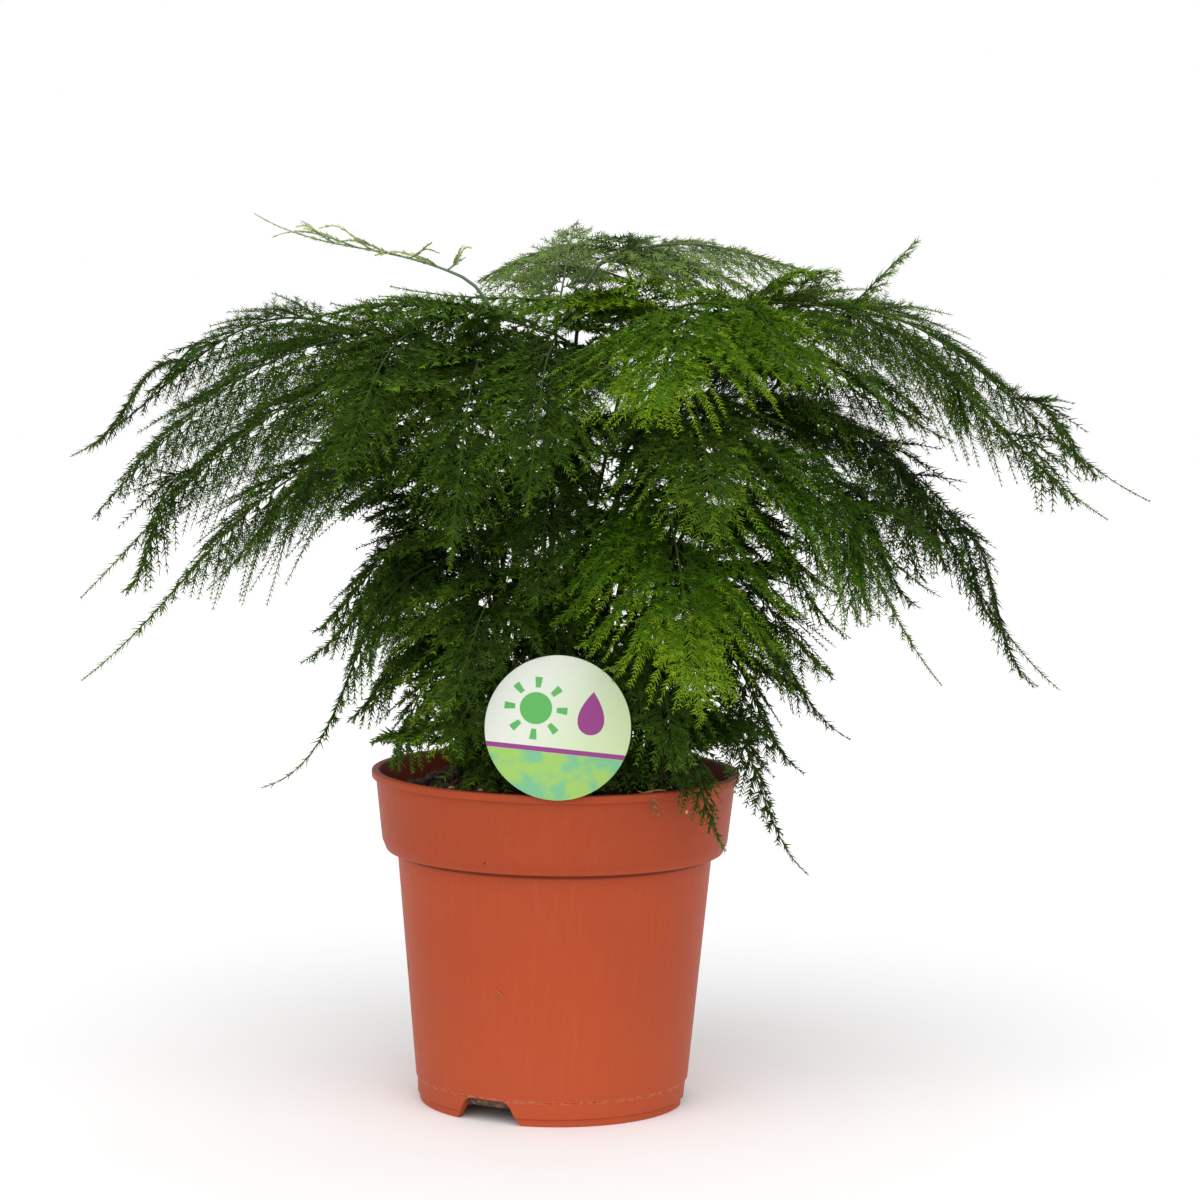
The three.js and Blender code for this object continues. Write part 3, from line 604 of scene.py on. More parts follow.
def peat_material(peat):
    """Dark crumbly peat: nearly black, with brown crumbs, pale fibres and damp patches."""
    made, sheet = material("peat_earth", 0.9)
    place = own_place(sheet)
    cells = sheet.add("ShaderNodeTexVoronoi", {"Vector": place, "Scale": 0.55}, feature="F1")
    tint = sheet.ramp(sheet.noise(place, 0.3, 5.0, 0.65), 0.35, 0.7)
    shade = sheet.mix(tint, opaque(peat.colour), colour(112, 84, 62))
    spot = sheet.add("ShaderNodeSeparateColor", {"Color": cells.outputs["Color"]}).outputs[0]
    shade = sheet.cover(shade, sheet.ramp(spot, 0.72, 0.95), 0.6, (152, 112, 78))
    fine = sheet.noise(place, 2.4, 5.0, 0.75)
    shade = sheet.cover(shade, sheet.ramp(fine, 0.62, 0.78), 0.55, (182, 146, 106))
    relief = sheet.sum("ADD", cells.outputs["Distance"], fine)
    sheet.surface(shade, sheet.ramp(tint, 0.0, 1.0, 0.7, 0.95), (0.7, 0.0008, relief))
    return made


def straw_material():
    """Dry straw and bark: pale fawn with darker ends and long grain."""
    made, sheet = material("peat_straw", 0.7)
    place = own_place(sheet)
    blot = sheet.ramp(sheet.noise(place, 0.35), 0.35, 0.65)
    grain = sheet.noise(place, 3.0, 4.0)
    shade = sheet.mix(blot, colour(168, 122, 76), colour(98, 62, 36))
    shade = sheet.cover(shade, grain, 0.4, (70, 48, 30))
    sheet.surface(shade, None, (0.4, 0.0003, grain))
    return made


def mesh_points(mesh):
    """A mesh's vertices as an array."""
    points = np.zeros(len(mesh.vertices) * 3)
    mesh.vertices.foreach_get("co", points)
    return points.reshape(-1, 3)


def joined(parts):
    """One mesh's points and faces from parts that each start with their own."""
    firsts = np.cumsum([0] + [len(part[0]) for part in parts[:-1]])
    faces = [part[1] + first for part, first in zip(parts, firsts)]
    return np.concatenate([part[0] for part in parts]), np.concatenate(faces)


def turns_of(rng, count):
    """Random rotation matrices."""
    spin = rng.normal(size=(count, 4))
    spin /= np.linalg.norm(spin, axis=1)[:, None]
    w, x, y, z = spin.T
    rows = [
        [1 - 2 * (y * y + z * z), 2 * (x * y - z * w), 2 * (x * z + y * w)],
        [2 * (x * y + z * w), 1 - 2 * (x * x + z * z), 2 * (y * z - x * w)],
        [2 * (x * z - y * w), 2 * (y * z + x * w), 1 - 2 * (x * x + y * y)],
    ]
    return np.moveaxis(np.array(rows), 2, 0)


def raise_mesh(name, points, faces, smooth=None, spots=None):
    """A mesh object from triangle arrays in millimetres about the pot's axis.

    `smooth` marks the faces that are shaded smooth; `spots` gives every face corner's place on
    the tint chart, as the piece's own UV map."""
    mesh = bpy.data.meshes.new(name)
    mesh.vertices.add(len(points))
    mesh.vertices.foreach_set("co", (points * MM + np.array(AXIS)).ravel())
    mesh.loops.add(faces.size)
    mesh.loops.foreach_set("vertex_index", faces.ravel().astype(np.int32))
    mesh.polygons.add(len(faces))
    mesh.polygons.foreach_set("loop_start", np.arange(0, faces.size, 3, dtype=np.int32))
    if smooth is None:
        smooth = np.zeros(len(faces), bool)
    mesh.polygons.foreach_set("use_smooth", smooth)
    if spots is not None:
        mesh.uv_layers.new(name="OFBake").data.foreach_set("uv", spots.ravel())
    mesh.update(calc_edges=True)
    mesh.validate()
    piece = bpy.data.objects.new(name, mesh)
    bpy.context.scene.collection.objects.link(piece)
    return piece


def lump(rng):
    """One rough crumb of peat, modelled once: an ico sphere with its vertices thrown about."""
    deselect()
    bpy.ops.mesh.primitive_ico_sphere_add(subdivisions=1, radius=1)
    model = bpy.context.object
    points = mesh_points(model.data)
    faces = np.array([face.vertices[:] for face in model.data.polygons])
    bpy.data.objects.remove(model)
    return points * rng.uniform(0.62, 1.12, (len(points), 1)), faces


def scatter(rng, count, reach):
    """Places over the peat's disc, in millimetres."""
    radius = reach * np.sqrt(rng.random(count))
    turn = rng.random(count) * 2 * math.pi
    return radius * np.cos(turn), radius * np.sin(turn)


def crumbs(rng, count):
    """Crumbs of peat lying on the bed, most of them small and every sixteenth one big."""
    kinds = [lump(rng) for _ in range(5)]
    x, y = scatter(rng, count, CRUMB_REACH)
    size = 0.7 + 2.6 * rng.random(count) ** 3
    big = np.arange(count) % 16 == 0
    size[big] += rng.uniform(1.5, 3.4, big.sum())
    turns = turns_of(rng, count)
    parts = []
    for index in range(count):
        shape, faces = kinds[index % 5]
        flat = rng.uniform(0.6, 1.0)
        placed = (shape * size[index]) @ turns[index].T * (1, 1, flat)
        placed += (x[index], y[index], peat_height(x[index], y[index]) + size[index] * 0.3)
        parts.append((placed, faces))
    return joined(parts)


class FernPeatSettings(bpy.types.PropertyGroup):
    """How the peat looks."""

    crumbs: bpy.props.IntProperty(
        name="Crumbs", description="How many loose crumbs lie on the peat", default=900, min=0
    )
    straws: bpy.props.IntProperty(
        name="Straws", description="How many fibres and straws lie on it", default=70, min=0
    )
    colour: bpy.props.FloatVectorProperty(
        name="Colour", description="Colour of the damp peat", subtype="COLOR", size=3,
        min=0, max=1, default=colour(60, 46, 36)[:3],
    )


class FernBuildPeat(bpy.types.Operator):
    """Builds the bed of peat, its loose crumbs and the straw in it."""

    bl_idname = "fern.build_peat"
    bl_label = "Peat"

    def execute(self, context):
        peat = context.scene.fern_peat
        rng = np.random.default_rng(SEED)
        rings = [(BED_EDGE - RING_STEP * ring, PEAT_TOP) for ring in range(RINGS)]
        bed = turned([*BED_FOOT, *rings], 200)
        points = mesh_points(bed.data)
        local = (points + np.array(bed.matrix_world.translation) - np.array(AXIS)) / MM
        on_top = local[:, 2] > PEAT_TOP - 0.1
        x, y = local[on_top, 0], local[on_top, 1]
        inward = np.clip((BED_EDGE - np.hypot(x, y)) / 3, 0, 1)
        rough = unevenness(x, y) + rng.normal(0, 0.22, len(x))
        local[on_top, 2] = peat_height(x, y) + rough * inward
        moved = local * MM + np.array(AXIS) - np.array(bed.matrix_world.translation)
        bed.data.vertices.foreach_set("co", moved.ravel())
        settle(bed, "peat_bed", 60)
        earth = peat_material(peat)
        declare(bed, earth, "peat", "peat")
        declare(raise_mesh("peat_crumbs", *crumbs(rng, peat.crumbs)), earth, "peat")
        straw = raise_mesh("peat_straw", *straws(rng, peat.straws))
        declare(straw, straw_material(), "peat")
        return {"FINISHED"}


# ---------------------------------------------------------------- tubes and needles


def unit(vectors):
    """Vectors made one long."""
    return vectors / np.linalg.norm(vectors, axis=-1, keepdims=True)


def rise(values, low, high):
    """0 up to `low`, 1 from `high` on and even between them; high may be the lower one."""
    return np.clip((values - low) / (high - low), 0, 1)


def tubes(paths, radii, sides, guide):
    """Closed tapering tubes along paths of shape (tube, step, 3), as points and triangles.

    `guide` is a direction across each tube, from which its first side is turned."""
    count, steps, _ = paths.shape
    ahead = unit(np.gradient(paths, axis=1))
    across = unit(np.cross(ahead, guide[:, None, :]))
    over = np.cross(across, ahead)
    angles = np.arange(sides) * 2 * math.pi / sides
    cos, sin = np.cos(angles)[:, None], np.sin(angles)[:, None]
    ring = across[:, :, None, :] * cos + over[:, :, None, :] * sin
    points = paths[:, :, None, :] + ring * radii[:, :, None, None]
    corner = np.arange(count * steps * sides).reshape(count, steps, sides)
    low, high = corner[:, :-1], corner[:, 1:]
    low_next, high_next = np.roll(low, -1, 2), np.roll(high, -1, 2)
    walls = [
        np.stack([low, low_next, high_next], -1).reshape(-1, 3),
        np.stack([low, high_next, high], -1).reshape(-1, 3),
    ]
    first, last = corner[:, 0], corner[:, -1]
    for side in range(1, sides - 1):
        walls.append(np.stack([first[:, 0], first[:, side + 1], first[:, side]], -1))
        walls.append(np.stack([last[:, 0], last[:, side], last[:, side + 1]], -1))
    return points.reshape(-1, 3), np.concatenate(walls)


# start, end and half thickness of the straws that lie on the lip, and of one on the wall
LAID_STRAWS = (
    ((-38.6, -56.6, 127.5), (-36.4, -57.6, 127.7), 0.42),
    ((-27.4, -62.6, 127.5), (-26.0, -63.0, 127.6), 0.42),
    ((31.0, -57.5, 125.5), (36.4, -59.4, 127.8), 0.5),
    ((33.6, -57.6, 127.6), (39.5, -59.8, 117.0), 0.4),
    ((35.8, -56.0, 129.6), (36.6, -61.6, 119.5), 0.42),
    ((41.0, -55.5, 127.6), (33.8, -60.6, 127.6), 0.36),
    ((30.6, -60.2, 128.0), (38.8, -59.4, 123.0), 0.34),
    ((-20.7, -52.0, 51.5), (-17.7, -53.1, 49.4), 0.2),
)


def straws(rng, count):
    """Fibres and straws scattered on the peat, and the few listed one by one."""
    x, y = scatter(rng, count, STRAW_REACH)
    turn = rng.random(count) * 2 * math.pi
    length = rng.uniform(4, 15, count)
    ahead = np.stack([np.cos(turn), np.sin(turn), rng.uniform(-0.1, 0.3, count)], -1)
    start = np.stack([x, y, peat_height(x, y) + 0.8], -1)
    painted_haze = np.hypot(*(start + ahead * length[:, None])[:, :2].T) > 63
    ahead[painted_haze] *= -1
    share = np.linspace(0, 1, 5)[None, :, None]
    bow = rng.normal(0, 0.12, (count, 1, 3)) * length[:, None, None]
    paths = start[:, None] + ahead[:, None] * length[:, None, None] * share
    paths = paths + bow * share * (1 - share)
    first, last = (np.array([row[end] for row in LAID_STRAWS])[:, None] for end in (0, 1))
    laid = first + (last - first) * share
    laid = laid + np.array([0.1, -0.1, 0.3]) * 6 * share * (1 - share)
    paths = np.concatenate([paths, laid])
    thick = np.concatenate([rng.uniform(0.18, 0.6, count), [row[2] for row in LAID_STRAWS]])
    radii = thick[:, None] * np.array([0.6, 1, 0.95, 0.9, 0.5])
    guide = np.tile([0.05, 0.1, 1.0], (len(paths), 1))
    return tubes(paths, radii, 5, guide)


# ---------------------------------------------------------------- fronds

BRANCH_STEP = 16  # length of blade that carries one set of side branches
BRANCH_SWEEP, BRANCH_SAG = 0.16, 0.18  # how far a branch bends forwards and down, of its length
SPRIG_REACH = 0.56  # share of a branch that carries sprigs


def bezier(corners, share):
    """Points of a cubic curve at some shares of its parameter."""
    t = np.asarray(share)[:, None]
    a, b, c, d = corners
    return (1 - t) ** 3 * a + 3 * (1 - t) ** 2 * t * b + 3 * (1 - t) * t**2 * c + t**3 * d


class Blade:
    """A blade's line from its shoulder to its tip, with the form of its side branches."""

    def __init__(self, shoulder, tip, lift, fall, width, roll, tail):
        self.width, self.roll, self.tail = width, roll, tail
        self.shoulder, self.tip = np.array(shoulder, float), np.array(tip, float)
        reach = self.tip - self.shoulder
        span = np.linalg.norm(reach)
        head = unit(reach * (1, 1, 0))
        self.leave, arrive = unit(head + UP * lift), unit(head - UP * fall)
        self.sideways = np.cross(head, UP)
        share = np.linspace(0, 1, 241)
        pulls = self.shoulder + self.leave * span * 0.4, self.tip - arrive * span * 0.36
        self.line = bezier((self.shoulder, *pulls, self.tip), share)
        step = np.linalg.norm(np.diff(self.line, axis=0), axis=1)
        self.run = np.concatenate([[0], np.cumsum(step)])
        self.length = self.run[-1]

    def stem(self, root, share):
        """Points of the stem that rises from a root to this blade's shoulder."""
        rise = self.shoulder[2] - root[2]
        low, high = root + UP * rise * 0.5, self.shoulder - self.leave * rise * 0.14
        return bezier((root, low, high, self.shoulder), share)

    def at(self, share):
        """Places and directions at shares of the blade's length."""
        run = np.asarray(share) * self.length
        place = np.stack([np.interp(run, self.run, self.line[:, k]) for k in range(3)], -1)
        slope = unit(np.gradient(self.line, self.run, axis=0))
        ahead = np.stack([np.interp(run, self.run, slope[:, k]) for k in range(3)], -1)
        return place, unit(ahead)


# fold and lean: how far the blade's halves fold down and its needles stand off, in degrees.
# needle, gap, root: shares of the full size. sprigs: how close they stand, a share of the full
# number. many: side branches to each step of the blade. bare: share of it without needles.
# spread: a branch's lean from the blade's line at its start and its end, in degrees. drop:
# share of the branches that are left out.
FORMS = {
    "full": {"fold": 16, "lean": 36, "needle": 1, "gap": 1, "root": 1.3, "sprigs": 1},
    "fine": {"fold": 16, "lean": 40, "needle": 0.84, "gap": 0.86, "root": 1.1, "sprigs": 1},
    "thin": {"fold": 12, "lean": 40, "needle": 0.86, "gap": 1.1, "root": 1.2, "sprigs": 0.8},
    "inner": {"fold": 10, "lean": 38, "needle": 1.1, "gap": 1.4, "root": 1.7, "sprigs": 0.7},
    "pale": {"fold": -30, "lean": 22, "needle": 0.52, "gap": 0.8, "root": 2.1, "sprigs": 0,
             "many": 3, "bare": 0.12, "spread": (32, 18), "drop": 0.72},
}


def branches_of(blade, order, form, foliage):
    """Starts, headings and lengths of a blade's side branches, left and right in turn."""
    many = form.get("many") or round(BRANCH_STEP / (foliage.branch_pitch / MM) / 2) * 2 - 1
    count = max(2, round(blade.length / BRANCH_STEP)) * many
    index = np.arange(count)
    share = (index + 0.5) / count
    key = (index - many // 2) / many
    hand = np.where(index % 2 == 1, 1.0, -1.0)
    start, along = blade.at(share)
    normal = np.cross(blade.sideways[None, :], along)
    swing = [2 * draw(order, key, k) - 1 for k in range(4)]
    tilt = np.radians(blade.roll * hand - form["fold"] + 9 * swing[3])[:, None]
    out = blade.sideways * hand[:, None] * np.cos(tilt) + normal * np.sin(tilt)
    wide, narrow = form.get("spread", (58, 32))
    lean = np.radians(wide + (narrow - wide) * share + 7 * swing[2])[:, None]
    swell = np.minimum(1, 0.6 + 2.2 * share)
    taper = np.maximum(0, 1 - share / (1 - blade.tail)) ** 0.75
    vary = 0.88 + 0.24 * draw(order, key, 1)
    stub = 8 + (4 - 8) * share - 2.5 * np.clip(4 * (share - (1 - blade.tail)), 0, 1)
    length = blade.width * swell * taper * vary + stub
    heading = along * np.cos(lean) + out * np.sin(lean)
    ridge = unit(np.cross(out, along) * hand[:, None])
    rows = {"start": start, "along": along, "heading": heading, "ridge": ridge,
            "length": length, "share": share}
    kept = (length > 3) & (draw(order, key, 7) >= form.get("drop", 0))
    return {name: value[kept] for name, value in rows.items()}


def on_branches(rows, which, share):
    """Places and directions at shares of the chosen branches' lengths."""
    start, heading, along = (rows[key][which] for key in ("start", "heading", "along"))
    length, t = rows["length"][which][:, None], share[:, None]
    bend = along * BRANCH_SWEEP - UP * BRANCH_SAG
    place = start + length * (heading * t + bend * t**2)
    return place, unit(heading + 2 * bend * t)


def spread(counts):
    """For rows that repeat `counts` times each: the row's index and the repeat's number."""
    which = np.repeat(np.arange(len(counts)), counts)
    first = np.repeat(np.cumsum(counts) - counts, counts)
    return which, np.arange(len(which)) - first


def sprigs_of(rows, rng, foliage, form):
    """Short leafy sprigs on the inner part of every branch, left and right in turn."""
    pitch = foliage.sprig_pitch / MM / form["sprigs"]
    counts = np.floor(SPRIG_REACH * rows["length"] / pitch).astype(int)
    which, number = spread(counts)
    u = 0.03 + SPRIG_REACH * (number + rng.uniform(0.3, 0.7, len(which))) / counts[which]
    place, ahead = on_branches(rows, which, u)
    ridge = rows["ridge"][which]
    hand = np.where((number + which) % 2 == 1, 1.0, -1.0)[:, None]
    side = unit(np.cross(ahead, ridge)) * hand
    lean = np.radians(rng.uniform(28, 40, len(which)))[:, None]
    heading = ahead * np.cos(lean) + side * np.sin(lean)
    heading = unit(heading + ridge * rng.normal(0, 0.16, (len(which), 1)))
    longest = np.minimum(15, 0.6 * rows["length"][which])
    length = longest * (1 - 0.75 * u / 0.59) * rng.uniform(0.75, 1.1, len(which))
    return {"start": place, "along": ahead, "heading": heading, "ridge": ridge,
            "length": np.maximum(length, 2.5), "share": rows["share"][which], "from": u}


def needles_of(place, ahead, ridge, length, root, lean, paleness, rng):
    """Opposed pairs of needles, each pair one closed arrowhead pointing back along its twig.

    `root` is the arrowhead's depth along the twig, where its two needles meet. The parts of a
    mesh are points, triangles, chart places, and whether it is shaded smooth."""
    count = len(place)
    flat = rng.random(count) < 0.84
    turn = np.where(flat, rng.normal(0, 0.36, count), rng.normal(math.pi / 2, 0.5, count))
    side = unit(np.cross(ridge, ahead))
    over = np.cross(ahead, side)
    cos, sin = np.cos(turn)[:, None], np.sin(turn)[:, None]
    side, over = side * cos + over * sin, over * cos - side * sin
    lean = math.radians(lean) + rng.normal(0, 0.08, (count, 2))
    reach = length[:, None] * rng.uniform(0.82, 1.12, (count, 2))
    along, across = reach * np.cos(lean), reach * np.sin(lean)
    sweep = rng.normal(0, 0.1, (count, 2)) * reach
    root = root[:, None]
    thick = over * root * 0.2
    left = place + ahead * along[:, :1] + side * across[:, :1] + over * sweep[:, :1]
    right = place + ahead * along[:, 1:] - side * across[:, 1:] + over * sweep[:, 1:]
    points = np.stack([place + thick, place - thick, place + ahead * root, left, right], 1)
    faces = np.array([[0, 2, 3], [0, 4, 2], [1, 3, 2], [1, 2, 4], [0, 3, 1], [0, 1, 4]])
    shell = (np.arange(count) * 5)[:, None, None] + faces
    paleness = np.clip(paleness + rng.normal(0, 0.06, count), 0.03, 0.84)
    hue = rng.uniform(0.06, 0.42, count)
    chart = np.stack([
        np.stack([paleness, hue + 0.02], -1), np.stack([paleness, hue - 0.02], -1),
        np.stack([paleness + 0.03, hue], -1), np.stack([paleness + 0.14, hue + 0.02], -1),
        np.stack([paleness + 0.14, hue - 0.02], -1),
    ], 1)
    spots = chart[:, faces]
    return points.reshape(-1, 3), shell.reshape(-1, 3), spots.reshape(-1, 2), False


def paleness_of(place, reach, along, share):
    """How pale needles are: paler outwards, where growth is young, paler low in front right of the
    middle, and painted light at the top and low at the left.

    `reach` is how far out on its blade the branch is, `along` how far out on it the needle is
    and `share` how far out on its twig."""
    x, y, z = place.T
    paleness = 0.02 + 0.36 * along**2 + 0.16 * reach + 0.12 * share**2
    # painted light: paler towards the top, where the light falls
    paleness = paleness + 0.22 * rise(z, 225, 315) + 0.24 * rise(z, 292, 322)
    front = rise(y, -62, -102) * rise(x, 0, 20)
    low = rise(z, 230, 190)
    # paler low in front right of the middle; painted light paler low at the left, lifting the
    # crown's own shade there
    return paleness + (0.2 + 0.18 * low) * front + 0.2 * low * rise(x, -30, -50)


def clusters(rows, on, rng, foliage, form, grow, first, taper=2.6):
    """Needles all along the given twigs, pair after pair, shorter towards the twigs' ends."""
    gap = foliage.cluster_pitch / MM * form["gap"]
    counts = np.ceil(rows["length"] * (1 - first) / gap).astype(int)
    which, number = spread(counts)
    share = first + (1 - first) * (number + rng.random(len(which)) * 0.3) / counts[which]
    place, ahead = on(rows, which, share)
    full = foliage.needle_length / MM * form["needle"] * grow
    full = full * np.clip(0.55 + rows["length"] / 18, 0, 1)[which]
    length = full * (1 - 0.66 * share**taper) * rng.uniform(0.85, 1.08, len(which))
    inner = rows.get("from", np.zeros(len(rows["length"])))[which]
    along = inner + (1 - inner) * share
    paleness = paleness_of(place, rows["share"][which], along, share)
    inside = rise(np.hypot(place[:, 0], place[:, 1]), 125, 50) * rise(place[:, 2], 330, 290)
    root = foliage.needle_root / MM * form["root"] * (1.2 - 0.5 * along) * (0.72 + 0.4 * inside)
    return needles_of(place, ahead, rows["ridge"][which], length, root, form["lean"], paleness, rng)


def on_sprigs(rows, which, share):
    """Places and directions at shares of the chosen sprigs' lengths."""
    heading = rows["heading"][which]
    place = rows["start"][which] + heading * (rows["length"][which] * share)[:, None]
    return place, heading


def twigs(paths, radii, sides, guide, young, old):
    """Tubes with their chart places, from `young` at the foot to `old` at the end."""
    points, faces = tubes(paths, radii, sides, guide)
    count, steps, _ = paths.shape
    age = np.linspace(young, old, steps)[None, :, None]
    side = np.where(np.arange(sides) % 2 == 0, 0.7, 0.78)[None, None, :]
    spot = np.stack(np.broadcast_arrays(age, side, np.zeros((count, 1, 1)))[:2], -1)
    return points, faces, spot.reshape(-1, 2)[faces].reshape(-1, 2), True


def leafage(blade, order, form, rng, foliage):
    """The side branches, sprigs and needles of one blade, as parts of a mesh."""
    rows = branches_of(blade, order, form, foliage)
    count = len(rows["length"])
    ends = on_branches(rows, np.arange(count), np.ones(count))[0]
    near_label = (ends[:, 1] < -55) & (np.hypot(ends[:, 0], ends[:, 2] - 160) < 55)
    steps = 9 if near_label.any() else 3
    every, share = np.repeat(np.arange(count), steps), np.linspace(0, 1, steps)
    path = on_branches(rows, every, np.tile(share, count))[0].reshape(-1, steps, 3)
    radii = np.broadcast_to(np.interp(share, [0, 0.5, 1], [0.28, 0.2, 0.09]), path.shape[:2])
    bare = form.get("bare", 0.55 * (1 - blade.tail))
    end = {"start": blade.at([bare])[0], "ridge": rows["ridge"][-1:], "share": np.array([1.0]),
           "length": np.array([blade.length * (1 - bare)])}
    on_blade = lambda _, which, share: blade.at(bare + (1 - bare) * share)
    parts = [
        twigs(path, radii, 3, rows["ridge"], 0.35, 0.95),
        clusters(end, on_blade, rng, foliage, form, 0.95, 0.0, 7),
        clusters(rows, on_branches, rng, foliage, form, 1.0, 0.04),
    ]
    if form["sprigs"]:
        sprigs = sprigs_of(rows, rng, foliage, form)
        parts.append(clusters(sprigs, on_sprigs, rng, foliage, form, 0.88, 0.0))
    return parts


# frond, place on it, tip and width: sprays listed one by one where the crown would be thin. The
# place is a share of the stem up to 1, and past 1 a share of the blade.
PLACED_SPRAYS = (
    ("left_high", 0.5, (-84, 4, 224), 28),
    ("left_high", 0.62, (-74, -14, 238), 28),
    ("left_under", 0.6, (-74, 18, 226), 24),
    ("left_drape", 0.6, (-42, -46, 222), 30),
    ("left_drape_outer", 0.55, (-54, -30, 226), 28),
    ("middle_drape", 0.55, (-22, -54, 214), 30),
    ("left_low", 0.55, (-62, -34, 214), 28),
    ("centre_dark", 0.75, (-14, -52, 232), 28),
    ("middle_fan", 0.8, (22, -58, 240), 28),
    ("middle_fan", 0.5, (4, -56, 206), 28),
    ("low_fan", 0.7, (-4, -58, 196), 28),
    ("left_front", 0.6, (-38, -50, 190), 28),
    ("top_right", 0.7, (36, 18, 302), 24),
    ("top_right", 1.05, (20, 28, 328), 20),
    ("top_right", 1.1, (46, 8, 305), 26),
    ("top_light", 0.9, (18, -14, 304), 24),
    ("left_crown", 0.85, (24, -18, 290), 24),
    ("right_high", 0.95, (94, -18, 316), 24),
    ("right_outer", 0.9, (104, 8, 316), 24),
    ("left_broad", 0.93, (-22, -34, 301), 26),
    ("left_crown", 1.3, (-50, -26, 300), 24),
    ("top_right", 0.5, (8, -12, 252), 28),
    ("top_left", 0.5, (38, 6, 262), 26),
    ("crown_fan", 0.5, (2, -34, 250), 28),
    ("right_bright", 0.8, (108, -52, 184), 32),
    ("right_bright", 0.7, (106, -40, 198), 32),
    ("right_front", 0.95, (76, -52, 234), 30),
    ("right_dark", 0.5, (94, 0, 214), 28),
    ("right_pale", 1.2, (94, 28, 210), 28),
    ("right_bright", 1.35, (112, -66, 190), 28),
    ("right_middle", 1.45, (120, -26, 190), 28),
    ("right_middle", 1.5, (146, -26, 216), 28),
    ("right_dark", 1.4, (150, 8, 204), 24),
    ("right_dark", 1.3, (140, 0, 200), 28),
    ("right_high", 1.7, (190, -26, 234), 26),
    ("right_outer", 1.6, (206, 8, 240), 24),
    ("right_shadow", 1.5, (140, -2, 262), 24),
    ("left_middle", 1.6, (-158, -62, 198), 24),
    ("over_rim_right", 0.5, (74, -42, 146), 26),
    ("right_low", 0.3, (66, -38, 142), 24),
    ("left_front", 0.35, (-34, -68, 140), 28),
    ("left_fringe", 0.4, (-36, -54, 152), 24),
    ("centre_low", 0.35, (26, -60, 152), 26),
    ("centre_right", 0.5, (44, -54, 168), 26),
    ("right_upright", 0.45, (84, -10, 222), 28),
    ("right_bright", 1.1, (102, -62, 206), 28),
    ("left_fringe", 0.3, (-30, -57, 129), 24),
    ("low_fan", 0.22, (18, -61, 128), 26),
    ("centre_low", 0.26, (36, -55, 128), 26),
    ("centre_right", 0.36, (52, -44, 129), 26),
    ("over_rim_front", 0.4, (58, -44, 144), 24),
    ("top_right", 1.05, (56, 8, 304), 30),
    ("top_right", 0.95, (78, 24, 306), 28),
    ("new_shoot", 1.08, (-35, 13, 324), 1),
    ("new_shoot", 1.1, (-69, 12, 321), 1),
    ("new_shoot", 1.26, (-50, 11, 323), 1),
    ("new_shoot", 1.42, (-90, 10, 331), 1),
    ("new_shoot", 1.6, (-101, 10, 331), 1),
    ("new_shoot", 1.5, (-110, 9, 327), 2),
    ("new_shoot", 1.34, (-86, 9, 325), 1),
    ("left_high", 1.5, (-180, 2, 246), 12),
    ("left_high", 1.4, (-156, 2, 268), 14),
    ("right_dark", 1.55, (184, 10, 160), 16),
    ("right_dark", 1.5, (170, 8, 182), 16),
    ("right_front", 0.8, (88, -46, 206), 30),
    ("right_middle", 1.4, (136, -16, 192), 26),
    ("right_low", 0.7, (96, -8, 158), 26),
    ("top_rise", 0.9, (28, -8, 308), 28),
    ("right_upright", 0.9, (48, -6, 308), 26),
    ("right_shadow", 0.95, (88, -6, 312), 22),
    ("centre_dark", 0.6, (-36, -38, 202), 28),
    ("centre_dark", 0.45, (0, -56, 188), 28),
    ("left_front", 0.75, (-54, -42, 194), 26),
    ("left_fringe", 0.9, (-44, -52, 186), 24),
    ("low_fan", 0.55, (-12, -54, 184), 26),
    ("low_fan", 1.2, (0, -76, 200), 14),
    ("low_fan", 1.35, (-2, -86, 191), 14),
    ("low_fan", 1.5, (7, -92, 183), 14),
    ("low_fan", 1.62, (18, -98, 175), 14),
    ("low_fan", 1.3, (90, -70, 194), 14),
    ("low_fan", 1.5, (84, -88, 181), 14),
    ("low_fan", 1.62, (66, -102, 168), 14),
    ("high_fan", 1.2, (10, -74, 284), 14),
    ("high_fan", 1.4, (18, -90, 275), 14),
    ("crown_fan", 1.3, (88, -74, 276), 14),
    ("top_light", 1.02, (28, -6, 312), 26),
    ("top_light", 1.16, (6, -6, 304), 24),
    ("right_high", 1.5, (154, -8, 262), 20),
)


def spray(start, tip, width, roll, number, form, rng, foliage):
    """One small blade from a point of a stem or a blade to its tip; its number seeds its form."""
    twig = Blade(start, tip, 0.35, 0.5, width, roll, 0.15)
    path = np.concatenate([start[None], twig.at(np.linspace(0, 1, 9)[1:])[0]])[None]
    radii = np.linspace(0.36, 0.1, 9)[None]
    parts = [twigs(path, radii, 5, twig.sideways[None], 0.2, 0.8)]
    return parts + leafage(twig, 100 + number, form, rng, foliage)


def inner_sprays(blade, root, rng, foliage):
    """Small blades that stand out from the stem below the shoulder and fill the crown."""
    parts = []
    room = (blade.shoulder[2] - root[2]) / 170
    count = int(round(foliage.inner_sprays * room))
    for number in range(count):
        share = 0.1 + 0.84 * (number + rng.uniform(0.1, 0.9)) / count
        start = blade.stem(root, np.array([share]))[0]
        out = math.atan2(start[1] - 2, start[0] * 1.2)
        turn = out + rng.normal(0, 0.85)
        span = rng.uniform(26, 40) + 16 * share
        reach = np.array([math.cos(turn), math.sin(turn), rng.uniform(-0.3, 0.12)]) * span
        width, roll = rng.uniform(15, 22), rng.normal(0, 14)
        parts += spray(start, start + reach, width, roll, number, FORMS["inner"], rng, foliage)
    return parts


